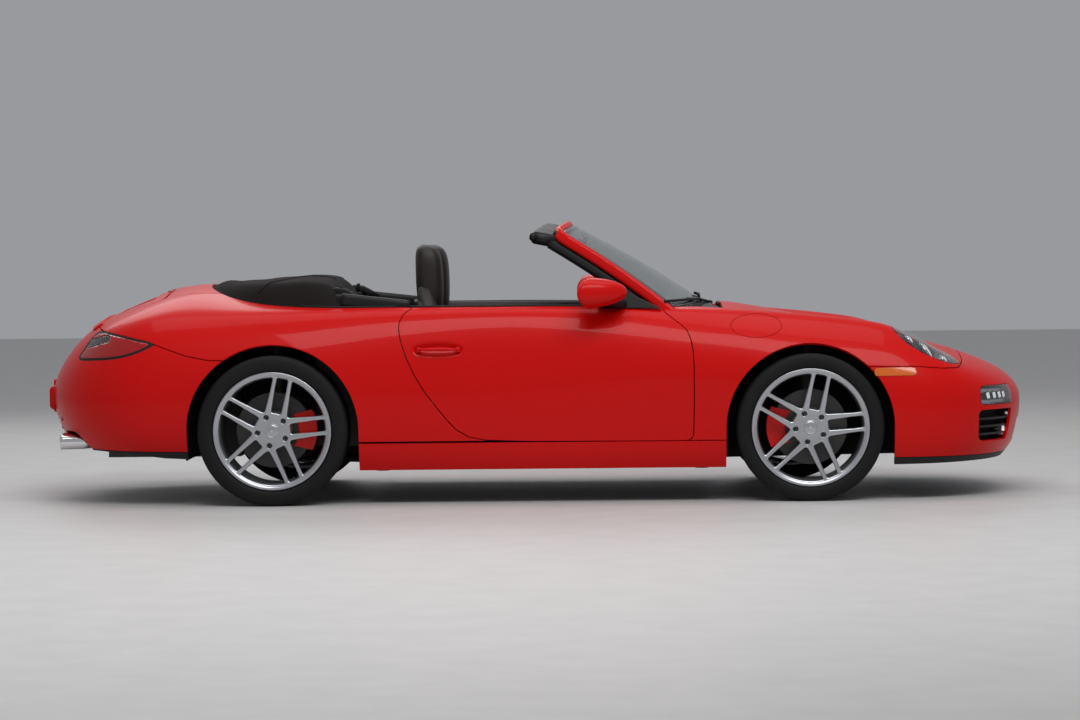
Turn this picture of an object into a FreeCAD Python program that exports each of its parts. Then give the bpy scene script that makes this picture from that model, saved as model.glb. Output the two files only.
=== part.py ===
import FreeCAD, Part
import math
import os
import Sketcher
from FreeCAD import Placement, Rotation, Vector

# An open two-door sports car with its engine behind the rear axle, built as separate named pieces.
# Millimetres. X runs forward, Y to the car's left, Z up. The origin is on the ground, at the middle
# of the length and width.

doc = FreeCAD.newDocument("convertible")
sheet = doc.addObject("Spreadsheet::Sheet", "sizes")

# alias, value, what it is
sizeTable = [
    ("overallLength", 4435, "nose to tail"),
    ("bodyWidth", 1808, "widest, at the rear haunches"),
    ("wheelbase", 2350, "axle to axle"),
    ("frontOverhang", 1010, "front axle to nose"),
    ("frontHalfTrack", 743, "centre plane to front wheel's middle"),
    ("rearHalfTrack", 750, "centre plane to rear wheel's middle"),
    ("frontTyreRadius", 323, ""),
    ("frontTyreWidth", 235, ""),
    ("rearTyreRadius", 329, ""),
    ("rearTyreWidth", 290, ""),
    ("treadRound", 16, "shoulder radius of every tyre"),
    ("rimLipRadius", 258, "edge of the rim"),
    ("rimSeatRadius", 242, "bead seat"),
    ("rimBoreRadius", 230, "inside of the rim barrel"),
    ("rimLipWidth", 9, "thickness of the rim's lip"),
    ("frontRimWidth", 222, "lip to lip"),
    ("rearRimWidth", 284, "lip to lip"),
    ("frontHubOffset", 57, "hub face outside the wheel's middle"),
    ("rearHubOffset", 67, "hub face outside the wheel's middle"),
    ("hubDeep", 42, "thickness of the rim at its hub"),
    ("hubCap", 8, "end of the hub beyond the stub axle"),
    ("hatWall", 10, "wall of the brake disc's hat"),
    ("hubRadius", 84, "wheel's hub boss"),
    ("spokeThick", 26, "spoke, along the axle"),
    ("spokeRoot", 46, "spoke width at the hub"),
    ("spokeEnd", 22, "spoke width at the rim"),
    ("spokeInset", 10, "spoke face behind the lip"),
    ("spindleRadius", 20, "stub axle"),
    ("spindleFit", 0.05, "running clearance on a stub axle"),
    ("discRadius", 165, "brake disc"),
    ("discThick", 34, ""),
    ("discHatRadius", 88, ""),
    ("discBack", 12, "disc's inner face inside the wheel's middle"),
    ("caliperGap", 2, "brake caliper to disc"),
    ("kingpinInset", 62, "steering axis inside the wheel's middle"),
    ("kingpinRadius", 12, ""),
    ("kingpinFit", 0.05, "running clearance on a steering pin"),
    ("archRadius", 372, "wheel arch edge"),
    ("houseRadius", 392, "space round a wheel behind the arch"),
    ("skin", 20, "outer panels and lids, whole wall"),
    ("seat", 0.4, "gap between a panel and what carries it"),
    ("shutGap", 9, "round doors and lids"),
    ("doorRim", 24, "thickness of the door's edge flange"),
    ("doorStep", 38, "inner part of the door inside its edge"),
    ("headerHeight", 1236, "top of the windscreen frame"),
    ("sillTop", 272, "bottom of the doors"),
    ("floorLow", 128, "underside of the floor"),
    ("floorThick", 30, ""),
    ("glassThick", 6, "windscreen"),
    ("pillarWide", 46, "windscreen pillar"),
    ("lampDeep", 70, "headlamps and tail lamps, front to back"),
    ("lampGap", 0.3, "lamp to panel"),
    ("headlampLong", 168, "half the headlamp, along the slope"),
    ("headlampWide", 112, "half the headlamp, across"),
    ("steerRadius", 185, "steering wheel"),
    ("steerGrip", 14, "steering wheel's rim"),
    ("driverSide", 370, "middle of a front seat"),
    ("seatWide", 500, "front seat"),
    ("headrestTop", 1140, ""),
    ("engineLong", 600, "engine block"),
    ("engineWide", 700, "engine block"),
    ("engineHigh", 400, "engine block"),
    ("engineLow", 190, "underside of the engine"),
    ("tipRadius", 42, "exhaust tips"),
    ("tipWall", 4, ""),
    ("jackPadLow", 140, "underside of the jacking pads"),
    ("hingePinRadius", 6, "door hinges"),
    ("lidPinRadius", 4, "bonnet and engine lid hinges"),
    ("hingeFit", 0.05, "running clearance of every hinge"),
    ("doorPlane", 745, "inner face of the doors, from the centre plane"),
    ("towBoltRadius", 9, "towing eye thread"),
    ("towBoltDeep", 40, "towing eye thread"),
]
for row, (alias, value, note) in enumerate(sizeTable, start=1):
    sheet.set("A%d" % row, str(value))
    sheet.setAlias("A%d" % row, alias)
    sheet.set("B%d" % row, note)
doc.recompute()


def size(alias):
    return float(getattr(sheet, alias))


halfWidth = size("bodyWidth") / 2
noseX = size("overallLength") / 2
frontAxle = noseX - size("frontOverhang")
rearAxle = frontAxle - size("wheelbase")
tailX = -noseX
skin = size("skin")
far = 3000.0

# ---------------------------------------------------------------- outline of the body
# Cross-sections of the body from tail to nose. Each is given from an anchor along X.
# low: underside. y columns are distances in from the widest point, z columns heights.
# sill: bottom corner, waist: widest line, crest: top of the wing, deck: foot of the crest
# where the deck or bonnet begins, top: centre line.
stations = [
    # anchor, dx, low, sillIn, waistIn, waistZ, crestIn, crestZ, deckIn, deckZ, topZ
    ("tail", 0, 400, 574, 504, 440, 524, 492, 654, 505, 508),
    ("tail", 42, 330, 424, 344, 440, 384, 566, 574, 596, 604),
    ("tail", 112, 262, 304, 214, 445, 284, 644, 484, 682, 694),
    ("tail", 225, 236, 224, 119, 455, 214, 716, 404, 786, 806),
    ("tail", 385, 226, 174, 49, 462, 169, 766, 344, 862, 884),
    ("tail", 565, 205, 134, 9, 470, 144, 800, 304, 912, 942),
    ("rear", -215, 190, 104, 0, 480, 134, 822, 269, 900, 984),
    ("rear", 20, 165, 104, 0, 490, 129, 838, 244, 852, 876),
    ("rear", 300, 150, 104, 19, 500, 129, 853, 234, 858, 860),
    ("rear", 555, 142, 104, 42, 510, 129, 862, 214, 863, 863),
    ("rear", 1140, 138, 104, 54, 520, 134, 860, 219, 862, 862),
    ("front", -647, 142, 104, 48, 530, 154, 851, 239, 852, 870),
    ("front", -400, 150, 104, 36, 535, 180, 840, 264, 826, 872),
    ("front", 0, 155, 104, 20, 520, 214, 818, 344, 778, 804),
    ("front", 330, 160, 134, 42, 484, 239, 785, 404, 726, 742),
    ("nose", -540, 162, 159, 66, 472, 254, 724, 424, 698, 708),
    ("nose", -400, 165, 184, 109, 462, 279, 636, 464, 658, 670),
    ("nose", -250, 172, 244, 189, 452, 344, 584, 534, 612, 622),
    ("nose", -120, 182, 364, 314, 444, 454, 534, 604, 562, 568),
    ("nose", -45, 196, 504, 454, 436, 554, 492, 684, 512, 516),
    ("nose", 0, 222, 674, 624, 420, 684, 442, 764, 452, 455),
]
anchors = {"tail": tailX, "rear": rearAxle, "front": frontAxle, "nose": noseX}
# where the arcs below and above the waist pass, as shares of the way out and up
lowOut, lowUp = 0.68, 0.42
highOut, highUp = 0.76, 0.62
# a sloping corner of the wall moves in by this share of the wall
slopeShare = 0.75
flatEnough = 1.0


def section(station, inset):
    """One closed cross-section, drawn in by inset all round."""
    (anchor, dx, low, sillIn, waistIn, waistZ, crestIn, crestZ, deckIn, deckZ, topZ) = station
    x = anchors[anchor] + dx
    x += inset if x < 0 else -inset
    slant = slopeShare * inset
    sill = (halfWidth - sillIn - inset, low + inset)
    waist = (halfWidth - waistIn - inset, waistZ)
    crest = (halfWidth - crestIn - slant, crestZ - slant)
    deck = (halfWidth - deckIn - slant, deckZ - inset)
    top = (0.0, topZ - inset)
    lowBulge = (sill[0] + lowOut * (waist[0] - sill[0]), sill[1] + lowUp * (waist[1] - sill[1]))
    highBulge = (crest[0] + highOut * (waist[0] - crest[0]), waist[1] + highUp * (crest[1] - waist[1]))

    def at(point, side):
        return Vector(x, side * point[0], point[1])

    edges = [Part.LineSegment(at(sill, 1), at(sill, -1))]
    edges.append(Part.Arc(at(sill, -1), at(lowBulge, -1), at(waist, -1)))
    edges.append(Part.Arc(at(waist, -1), at(highBulge, -1), at(crest, -1)))
    edges.append(Part.LineSegment(at(crest, -1), at(deck, -1)))
    if abs(top[1] - deck[1]) > flatEnough:
        edges.append(Part.Arc(at(deck, -1), at(top, 1), at(deck, 1)))
    else:
        edges.append(Part.Arc(at(deck, -1), at((0.0, deck[1] + flatEnough), 1), at(deck, 1)))
    edges.append(Part.LineSegment(at(deck, 1), at(crest, 1)))
    edges.append(Part.Arc(at(crest, 1), at(highBulge, 1), at(waist, 1)))
    edges.append(Part.Arc(at(waist, 1), at(lowBulge, 1), at(sill, 1)))
    return Part.Wire([e.toShape() for e in edges])


def bodySolid(inset):
    return Part.makeLoft([section(s, inset) for s in stations], True, True)


def box(x0, x1, y0, y1, z0, z1):
    return Part.makeBox(x1 - x0, y1 - y0, z1 - z0, Vector(x0, y0, z0))


def both(x0, x1, y0, y1, z0, z1):
    """The same box on both sides of the car."""
    return [box(x0, x1, y0, y1, z0, z1), box(x0, x1, -y1, -y0, z0, z1)]


def fuse(shapes):
    joined = shapes[0].multiFuse(shapes[1:]) if len(shapes) > 1 else shapes[0]
    return joined.removeSplitter()


def outline(corners, plane):
    """A closed outline of lines and three-point arcs. A corner is (a, b), or (a, b, midA, midB)
    where an arc through the middle point leads to it."""
    def place(a, b):
        return Vector(a, 0, b) if plane == "XZ" else Vector(a, b, 0)

    edges = []
    last = place(*corners[-1][:2])
    for corner in corners:
        here = place(corner[0], corner[1])
        if len(corner) == 4:
            edges.append(Part.Arc(last, place(corner[2], corner[3]), here).toShape())
        else:
            edges.append(Part.LineSegment(last, here).toShape())
        last = here
    return Part.Face(Part.Wire(edges))


def sidePrism(corners, grow=0.0, y0=-far, y1=far):
    """An outline in side view, drawn through the car."""
    face = outline(corners, "XZ")
    if grow:
        face = face.makeOffset2D(grow, 0, False, False)
        face = face if face.ShapeType == "Face" else Part.Face(face.Wires[0])
    face.translate(Vector(0, y0, 0))
    return face.extrude(Vector(0, y1 - y0, 0))


def planPrism(corners, grow=0.0, z0=0.0, z1=2000.0):
    """An outline in plan, drawn up through the car."""
    face = outline(corners, "XY")
    if grow:
        face = face.makeOffset2D(grow, 0, False, False)
        face = face if face.ShapeType == "Face" else Part.Face(face.Wires[0])
    face.translate(Vector(0, 0, z0))
    return face.extrude(Vector(0, 0, z1 - z0))


def cylinderY(radius, x, z, y0, y1):
    return Part.makeCylinder(radius, y1 - y0, Vector(x, y0, z), Vector(0, 1, 0))


def mirrored(shape):
    return shape.mirror(Vector(0, 0, 0), Vector(0, 1, 0))


pieces = []


def addShape(name, shape):
    """A piece whose shape comes from Part's own functions."""
    node = doc.addObject("Part::Feature", name)
    node.Label = name
    node.Shape = shape.copy()
    pieces.append(node)
    return node


def bind(node, bindings):
    for prop, expression in bindings.items():
        node.setExpression(prop, expression)


# expressions shared by the wheels
axleX = {
    "front": "sizes.overallLength / 2 - sizes.frontOverhang",
    "rear": "sizes.overallLength / 2 - sizes.frontOverhang - sizes.wheelbase",
}
halfTrack = {"front": "sizes.frontHalfTrack", "rear": "sizes.rearHalfTrack"}
tyreRadius = {"front": "sizes.frontTyreRadius", "rear": "sizes.rearTyreRadius"}


def planeOf(body, role):
    return [f for f in body.Origin.OriginFeatures if f.Role == role][0]


def sketchOn(body, name, role):
    sketch = body.newObject("Sketcher::SketchObject", name)
    sketch.AttachmentSupport = [(planeOf(body, role), "")]
    sketch.MapMode = "FlatFace"
    return sketch


def drawLoop(sketch, corners):
    """A closed polygon whose corners are pairs of expressions. Each one is a driven dimension."""
    first = sketch.GeometryCount
    count = len(corners)
    rough = []
    for i in range(count):
        turn = 2 * math.pi * i / count
        rough.append(Vector(300 + 50 * math.cos(turn), 50 * math.sin(turn), 0))
    for i in range(count):
        sketch.addGeometry(Part.LineSegment(rough[i], rough[(i + 1) % count]), False)
    for i in range(count):
        joint = Sketcher.Constraint("Coincident", first + i, 2, first + (i + 1) % count, 1)
        sketch.addConstraint(joint)
    for i in range(count):
        for axis, kind in enumerate(("DistanceX", "DistanceY")):
            datum = Sketcher.Constraint(kind, -1, 1, first + i, 1, rough[i][axis])
            index = sketch.addConstraint(datum)
            sketch.setExpression("Constraints[%d]" % index, corners[i][axis])


def revolved(body, name, corners, cut=False):
    """A ring or disc about the wheel's axle, from its half section."""
    sketch = sketchOn(body, name + "Section", "XY_Plane")
    drawLoop(sketch, corners)
    kind = "PartDesign::Groove" if cut else "PartDesign::Revolution"
    feature = body.newObject(kind, name)
    feature.Profile = sketch
    feature.ReferenceAxis = (sketch, ["V_Axis"])
    feature.Angle = 360
    body.Tip = feature
    return feature


# ---------------------------------------------------------------- wheels
# Made as the right wheels are: the street side faces -Y. Left ones are turned half round.
# end: which axle. hub: hub face from the wheel's middle. The rim and disc turn on a stub axle.
ends = {
    "front": {"width": "sizes.frontTyreWidth", "radius": "sizes.frontTyreRadius",
              "rim": "sizes.frontRimWidth", "hub": "sizes.frontHubOffset"},
    "rear": {"width": "sizes.rearTyreWidth", "radius": "sizes.rearTyreRadius",
             "rim": "sizes.rearRimWidth", "hub": "sizes.rearHubOffset"},
}
sides = {"left": 1, "right": -1}


def placeWheelPiece(node, end, side, spin=0.0):
    """At the wheel's middle, on the ground, turned to its side of the car."""
    node.Placement = Placement(Vector(0, 0, 0), Rotation(Vector(0, 0, 1), 180 if side == "left" else 0))
    if spin:
        turn = Rotation(Vector(0, 1, 0), spin)
        node.Placement = Placement(Vector(0, 0, 0), node.Placement.Rotation.multiply(turn))
    sign = "" if side == "left" else "-"
    bind(node, {
        "Placement.Base.x": axleX[end],
        "Placement.Base.y": sign + halfTrack[end],
        "Placement.Base.z": tyreRadius[end],
    })


def makeTyre(name, end):
    body = doc.addObject("PartDesign::Body", name)
    width, radius = ends[end]["width"], ends[end]["radius"]
    bead = "%s / 2 - sizes.rimLipWidth - 0.2" % ends[end]["rim"]
    seatR = "sizes.rimSeatRadius + 0.2"
    revolved(body, name + "Ring", [
        (seatR, bead),
        ("sizes.rimLipRadius + 1", bead),
        ("sizes.rimLipRadius + 6", width + " / 2 - 6"),
        ("%s * 0.5 + sizes.rimLipRadius * 0.5" % radius, width + " / 2"),
        ("%s - sizes.treadRound" % radius, width + " / 2"),
        (radius, width + " / 2 - sizes.treadRound"),
        (radius, "-(%s / 2) + sizes.treadRound" % width),
        ("%s - sizes.treadRound" % radius, "-(%s / 2)" % width),
        ("%s * 0.5 + sizes.rimLipRadius * 0.5" % radius, "-(%s / 2)" % width),
        ("sizes.rimLipRadius + 6", "-(%s / 2) + 6" % width),
        ("sizes.rimLipRadius + 1", "-(%s)" % bead),
        (seatR, "-(%s)" % bead),
    ])
    return body


def makeRim(name, end):
    body = doc.addObject("PartDesign::Body", name)
    half = "%s / 2" % ends[end]["rim"]
    hub = ends[end]["hub"]
    revolved(body, name + "Barrel", [
        ("sizes.rimBoreRadius", half),
        ("sizes.rimLipRadius", half),
        ("sizes.rimLipRadius", half + " - sizes.rimLipWidth"),
        ("sizes.rimSeatRadius", half + " - sizes.rimLipWidth"),
        ("sizes.rimSeatRadius", "-(%s) + sizes.rimLipWidth" % half),
        ("sizes.rimLipRadius", "-(%s) + sizes.rimLipWidth" % half),
        ("sizes.rimLipRadius", "-(%s)" % half),
        ("sizes.rimBoreRadius", "-(%s)" % half),
    ])
    face = "%s - sizes.spokeInset" % half
    sketch = sketchOn(body, name + "SpokePair", "XZ_Plane")
    bind(sketch, {"AttachmentOffset.Base.z": face + " - sizes.spokeThick"})
    # two spokes that leave one wheel bolt, spreading towards the rim
    near, far2 = "sizes.spokeRoot", "sizes.rimBoreRadius + 6"
    drawLoop(sketch, [
        ("-0.45 * (%s)" % near, "50"),
        ("0.45 * (%s)" % near, "50"),
        ("0.508 * (%s)" % far2, "0.861 * (%s)" % far2),
        ("0.427 * (%s)" % far2, "0.904 * (%s)" % far2),
        ("0", "50 + 0.72 * (%s)" % near),
        ("-0.427 * (%s)" % far2, "0.904 * (%s)" % far2),
        ("-0.508 * (%s)" % far2, "0.861 * (%s)" % far2),
    ])
    pad = body.newObject("PartDesign::Pad", name + "Spokes")
    pad.Profile = sketch
    bind(pad, {"Length": "sizes.spokeThick"})
    pattern = body.newObject("PartDesign::PolarPattern", name + "AllSpokes")
    pattern.Originals = [pad]
    pattern.Axis = (sketch, ["N_Axis"])
    pattern.Angle = 360
    pattern.Occurrences = 5
    body.Tip = pattern
    boss = "-(%s) - sizes.hubDeep" % hub
    bore = "sizes.spindleRadius + sizes.spindleFit"
    revolved(body, name + "Hub", [
        (bore, "-(%s)" % hub),
        ("sizes.hubRadius", "-(%s)" % hub),
        ("sizes.hubRadius", boss),
        ("0", boss),
        ("0", boss + " + sizes.hubCap"),
        (bore, boss + " + sizes.hubCap"),
    ])
    return body


def makeDisc(name, end):
    body = doc.addObject("PartDesign::Body", name)
    hub = ends[end]["hub"]
    bore = "sizes.spindleRadius + sizes.spindleFit"
    revolved(body, name + "Ring", [
        (bore, "-(%s) + 0.2" % hub),
        ("sizes.discHatRadius", "-(%s) + 0.2" % hub),
        ("sizes.discHatRadius", "sizes.discBack - sizes.discThick"),
        ("sizes.discRadius", "sizes.discBack - sizes.discThick"),
        ("sizes.discRadius", "sizes.discBack"),
        ("sizes.discHatRadius - sizes.hatWall", "sizes.discBack"),
        ("sizes.discHatRadius - sizes.hatWall", "-(%s) + sizes.hatWall" % hub),
        (bore, "-(%s) + sizes.hatWall" % hub),
    ])
    return body


for end in ends:
    for side in sides:
        corner = "%s_%s" % (end, side)
        for kind, make in (("tyre", makeTyre), ("rim", makeRim), ("brake_disc", makeDisc)):
            name = "%s_%s" % (kind, corner)
            node = make(name, end)
            node.Label = name
            placeWheelPiece(node, end, side, 42.0 - 90.0 if kind == "rim" else 0.0)
            pieces.append(node)
doc.recompute()

# ---------------------------------------------------------------- outer panels
outer = bodySolid(0.0)
inner = bodySolid(skin)
carried = bodySolid(skin + size("seat"))
shell = outer.cut(inner)
shut = size("shutGap")
frontZ = size("frontTyreRadius")
rearZ = size("rearTyreRadius")
rearArchMore = 6.0
frontHouseIn, rearHouseIn = 430.0, 530.0
arches = fuse([cylinderY(size("archRadius"), frontAxle, frontZ, -far, far),
               cylinderY(size("archRadius") + rearArchMore, rearAxle, rearZ, -far, far)])
houses = fuse([cylinderY(size("houseRadius"), frontAxle, frontZ, frontHouseIn, far),
               cylinderY(size("houseRadius"), frontAxle, frontZ, -far, -frontHouseIn),
               cylinderY(size("houseRadius"), rearAxle, rearZ, rearHouseIn, far),
               cylinderY(size("houseRadius"), rearAxle, rearZ, -far, -rearHouseIn)])

doorBack, hingeBack = 519.5, 36.0
doorFrontX = frontAxle - doorBack
doorHingeX = doorFrontX - hingeBack
sillTop = size("sillTop")
doorShoulder = 842.0
# the door's edge in side view
doorEdge = [
    (doorFrontX, sillTop),
    (doorFrontX, 690),
    (doorFrontX - 22, 752),
    (doorFrontX - 128, doorShoulder),
    (doorFrontX - 150, 900),
    (doorFrontX - 1198, 900),
    (doorFrontX - 1238, 850),
    (doorFrontX - 1270, 762, doorFrontX - 1264, 806),
    (doorFrontX - 1168, 498, doorFrontX - 1236, 628),
    (doorFrontX - 913, 285, doorFrontX - 1068, 358),
    (doorFrontX - 790, sillTop),
]
# bonnet over the luggage space, in plan
lidRearX = frontAxle - 372
frontLidEdge = [
    (lidRearX, -575),
    (lidRearX + 170, -575),
    (frontAxle + 380, -468),
    (frontAxle + 600, -360),
    (frontAxle + 600, 360, frontAxle + 690, 0),
    (frontAxle + 380, 468),
    (lidRearX + 170, 575),
    (lidRearX, 575),
]
# engine lid: straight front edge, rear edge on an arc about its hinge
engineHingeX = tailX + 597
engineHalf = 490.0
lidFrontGap = 14.0
cowlX = lidRearX - 16
cockpitRear = rearAxle - 330
cockpit = planPrism([
    (rearAxle + 250, -700),
    (cowlX - 110, -700),
    (lidRearX, -590),
    (lidRearX, 590),
    (cowlX - 110, 700),
    (rearAxle + 250, 700),
    (rearAxle - 200, 610),
    (cockpitRear, 420),
    (cockpitRear, -420, cockpitRear - 30, 0),
    (rearAxle - 200, -610),
], 0, 640, 1500)
seamZ = 585.0
beyondEnd = 380.0
bumperSide = [
    (frontAxle + 200, 0),
    (frontAxle + 200, seamZ),
    (frontAxle + 640, seamZ),
    (frontAxle + 664, 700),
    (noseX + beyondEnd, 700),
    (noseX + beyondEnd, 0),
]
tailSeam = [
    (rearAxle - 150, 0),
    (rearAxle - 150, 640),
    (rearAxle - 330, 640),
    (tailX + 557, 712),
    (tailX + 300, 769),
    (tailX + 275, 800),
    (tailX - beyondEnd, 800),
    (tailX - beyondEnd, 0),
]
valance = [
    (rearAxle - 376, 0),
    (rearAxle - 376, 196),
    (tailX + 315, 246),
    (tailX - beyondEnd, 262),
    (tailX - beyondEnd, 0),
]


def hood(grow):
    return planPrism(frontLidEdge, grow, 560, 1300)


def engineZone(grow):
    reach = engineReach + grow
    zone = cylinderY(reach, engineAxisX, engineAxisZ, -engineHalf - grow, engineHalf + grow)
    front = engineHingeX + (grow and lidFrontGap)
    return zone.common(box(-far, front, -far, far, 700, 1300))


def topAt(shape, x, y):
    """Height of the body's top at a point in plan."""
    column = Part.makeLine(Vector(x, y, 500), Vector(x, y, 2000)).common(shape)
    return max(v.Z for v in column.Vertexes)


pinDepth = 12.0
pinBack = 8.0
lidAxisX = lidRearX + pinBack
lidAxisZ = topAt(outer, lidRearX, 0) - pinDepth
engineAxisX = engineHingeX - pinBack
engineAxisZ = topAt(outer, engineHingeX, 0) - pinDepth
lidRearEdge = (tailX + 213, 800.0)
engineReach = math.hypot(lidRearEdge[0] - engineAxisX, lidRearEdge[1] - engineAxisZ)

# lamps
lampSlope = math.radians(36)
lampMid = Vector(frontAxle + 535, 630, 690)
lampNormal = Vector(math.sin(lampSlope), 0.16, math.cos(lampSlope))
lampNormal.normalize()
lampAlong = Vector(math.cos(lampSlope), 0, -math.sin(lampSlope))


def ovalPrism(mid, normal, along, long, wide, back, front):
    ellipse = Part.Ellipse(Vector(0, 0, 0), long, wide).toShape()
    face = Part.Face(Part.Wire([ellipse]))
    across = normal.cross(along)
    turn = Rotation(along, across, normal, "ZXY")
    face.Placement = Placement(mid - normal * back, turn)
    return face.extrude(normal * (back + front))


def headlampPrism(grow, back):
    deep = size("lampDeep")
    left = ovalPrism(lampMid, lampNormal, lampAlong, size("headlampLong") + grow,
                     size("headlampWide") + grow, back * deep, 120)
    return fuse([left, mirrored(left)])


tailLamp = [
    (tailX + 557, 710),
    (tailX + 301, 766),
    (tailX + 242, 729),
    (tailX + 185, 649),
    (tailX + 367, 647),
]
tailLampIn = 480.0


def tailLampPrism(grow):
    zone = sidePrism(tailLamp, grow)
    return fuse([zone.common(box(-far, far, tailLampIn - grow, far, 0, 2000)),
                 zone.common(box(-far, far, -far, grow - tailLampIn, 0, 2000))])


sideMarker = box(frontAxle + 290, frontAxle + 462, -far, far, 549, 575)
bumperLamps = both(frontAxle + 745, noseX, 480, 720, 406, 493)
intakes = both(frontAxle + 700, noseX + 10, 430, 725, 246, 388)
centreIntake = box(noseX - 200, noseX + 10, -330, 330, 232, 330)
exhaustHoles = both(tailX - 10, rearAxle - 500, 460, 642, 200, 326)

# fuel flap, on the right wing only: middle, outward normal and the direction up its hinge
flapMid = Vector(frontAxle - 231, -788, 768)
flapUp = Vector(0, 0.747, 0.665)
flapNormal = Vector(0, -0.665, 0.747)
flapLong, flapWide = 112.0, 78.0


def flapPrism(grow):
    return ovalPrism(flapMid, flapNormal, Vector(1, 0, 0), flapLong + grow, flapWide + grow, 60, 60)


lampGap = size("lampGap")
flapClear = 7.0
lampHoles = headlampPrism(lampGap, 3)
tailHoles = tailLampPrism(lampGap)
hoodHole = hood(shut)
bumperZone = sidePrism(bumperSide)
tailZone = sidePrism(tailSeam)

fenderBox = box(doorFrontX + shut - 260, noseX, 0, far, sillTop, 1300)
doorZone = sidePrism(doorEdge, shut)
fenders = shell.common(fenderBox).cut(doorZone).cut(sidePrism(bumperSide, 1.0)).cut(hoodHole)
fenders = fenders.cut(arches).cut(lampHoles).cut(cockpit)
fenders = fenders.cut(box(-far, doorFrontX, -far, far, 0, doorShoulder))
leftFender = fenders
rightFender = mirrored(fenders).cut(flapPrism(flapClear))
addShape("front_fender_left", leftFender)

flap = shell.common(flapPrism(0))
flap = flap.common(box(-far, far, -far, 0, 0, 2000))

bumper = shell.common(bumperZone).cut(hoodHole).cut(arches).cut(lampHoles)
bumper = bumper.cut(fuse(bumperLamps)).cut(fuse(intakes)).cut(centreIntake).cut(sideMarker)
towWayRadius = 20.0
railMid, railHalf = 292.0, 28.0
towMouth = Vector(noseX - 110, -railMid, 285)
towWay = Part.makeCylinder(towWayRadius, far, towMouth, Vector(1, 0, 0))
addShape("front_bumper", bumper)

frontLid = shell.common(hood(0))

quarterBox = box(tailX, doorFrontX - 700, -far, far, sillTop, 1300)
quarters = shell.common(quarterBox).cut(doorZone).cut(sidePrism(tailSeam, 1.0)).cut(arches)
quarters = quarters.cut(tailHoles).cut(cockpit).cut(engineZone(shut))
quarters = quarters.cut(box(engineHingeX - 100, cockpitRear + 200, -420, 420, 700, 1300))
quarterLeft = quarters.common(box(-far, far, 100, far, 0, 2000))
addShape("rear_quarter_left", quarterLeft)
addShape("rear_quarter_right", mirrored(quarterLeft))

tail = shell.common(tailZone).cut(arches).cut(tailHoles).cut(engineZone(shut))
# open below the engine
tail = tail.cut(box(tailX + 175, rearAxle, -660, 660, 0, 300))
lowTail = sidePrism(valance)
rearBumper = tail.cut(sidePrism(valance, 1.0)).cut(fuse(exhaustHoles))
addShape("rear_bumper", rearBumper)
addShape("rear_valance", tail.common(lowTail).cut(fuse(exhaustHoles)))

sills = shell.common(box(rearAxle + 100, frontAxle - 100, -far, far, 0, sillTop - shut)).cut(arches)
sills = sills.cut(box(-far, far, -700, 700, 0, 400))
addShape("sills", sills)

# ---------------------------------------------------------------- doors and lids
hingeY = halfWidth - 56
pinR = size("hingePinRadius")
pinFit = size("hingeFit")
leafLevels = [430.0, 610.0]
leafHalf = 12.0
leafClear = 6.0

doorOuter = sidePrism(doorEdge)
doorInner = sidePrism(doorEdge, -size("doorStep"))
doorSkin = outer.common(doorOuter).common(box(-far, far, size("doorPlane"), far, 0, 2000))
doorBlock = doorSkin.cut(bodySolid(size("doorRim")).cut(doorInner))
notch = [box(doorHingeX - 13, doorFrontX + 1, size("doorPlane") - 1, hingeY + 11,
             z - leafHalf - leafClear, z + leafHalf + leafClear) for z in leafLevels]
pinZ0, pinZ1 = leafLevels[0] - 40, leafLevels[1] + 40
bore = Part.makeCylinder(pinR + pinFit, pinZ1 - pinZ0 + 4, Vector(doorHingeX, hingeY, pinZ0 - 2))
hingeBlock = box(doorHingeX - 25, doorFrontX - 6, size("doorPlane"), hingeY + 2, pinZ0 - 10, pinZ1 + 10)
doorLeft = fuse([doorBlock, hingeBlock.common(inner)]).cut(fuse(notch)).cut(bore)
addShape("door_left", doorLeft)
addShape("door_right", mirrored(doorLeft))

# each leaf runs from its pin past the door's inner face to the hinge post
leafPlan = [
    (doorHingeX - 7, hingeY + 3),
    (doorHingeX + 7, hingeY + 3),
    (doorHingeX + 42, size("doorPlane") - 22),
    (doorFrontX + 20, size("doorPlane") - 22),
    (doorFrontX + 20, size("doorPlane") - 44),
    (doorHingeX + 14, size("doorPlane") - 44),
]
leaves = []
for z in leafLevels:
    leaves.append(planPrism(leafPlan, 0, z - leafHalf, z + leafHalf))
hingePin = Part.makeCylinder(pinR, pinZ1 - pinZ0, Vector(doorHingeX, hingeY, pinZ0))
hingesLeft = fuse(leaves + [hingePin])
doorHinges = [hingesLeft, mirrored(hingesLeft)]

lidPinR = size("lidPinRadius")
earHalf = 10.0
earAt = [-150.0, 150.0]


def lidPins(x, z):
    return [cylinderY(lidPinR, x, z, y - 30, y + 30) for y in earAt]


def lidNotches(x, z, reach):
    cuts = []
    for y in earAt:
        cuts.append(cylinderY(lidPinR + 5, x, z, y - earHalf - 3, y + earHalf + 3))
        cuts.append(box(x - reach[0], x + reach[1], y - earHalf - 3, y + earHalf + 3, z - 40, z))
        cuts.append(cylinderY(lidPinR + pinFit, x, z, y - 31, y + 31))
    return fuse(cuts)


lidEdge = 26.0
frontLid = frontLid.cut(lidNotches(lidAxisX, lidAxisZ, (lidEdge, 12)))
addShape("front_lid", frontLid)
engineLid = shell.common(engineZone(0)).cut(lidNotches(engineAxisX, engineAxisZ, (12, lidEdge)))
addShape("engine_lid", engineLid)

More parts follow.
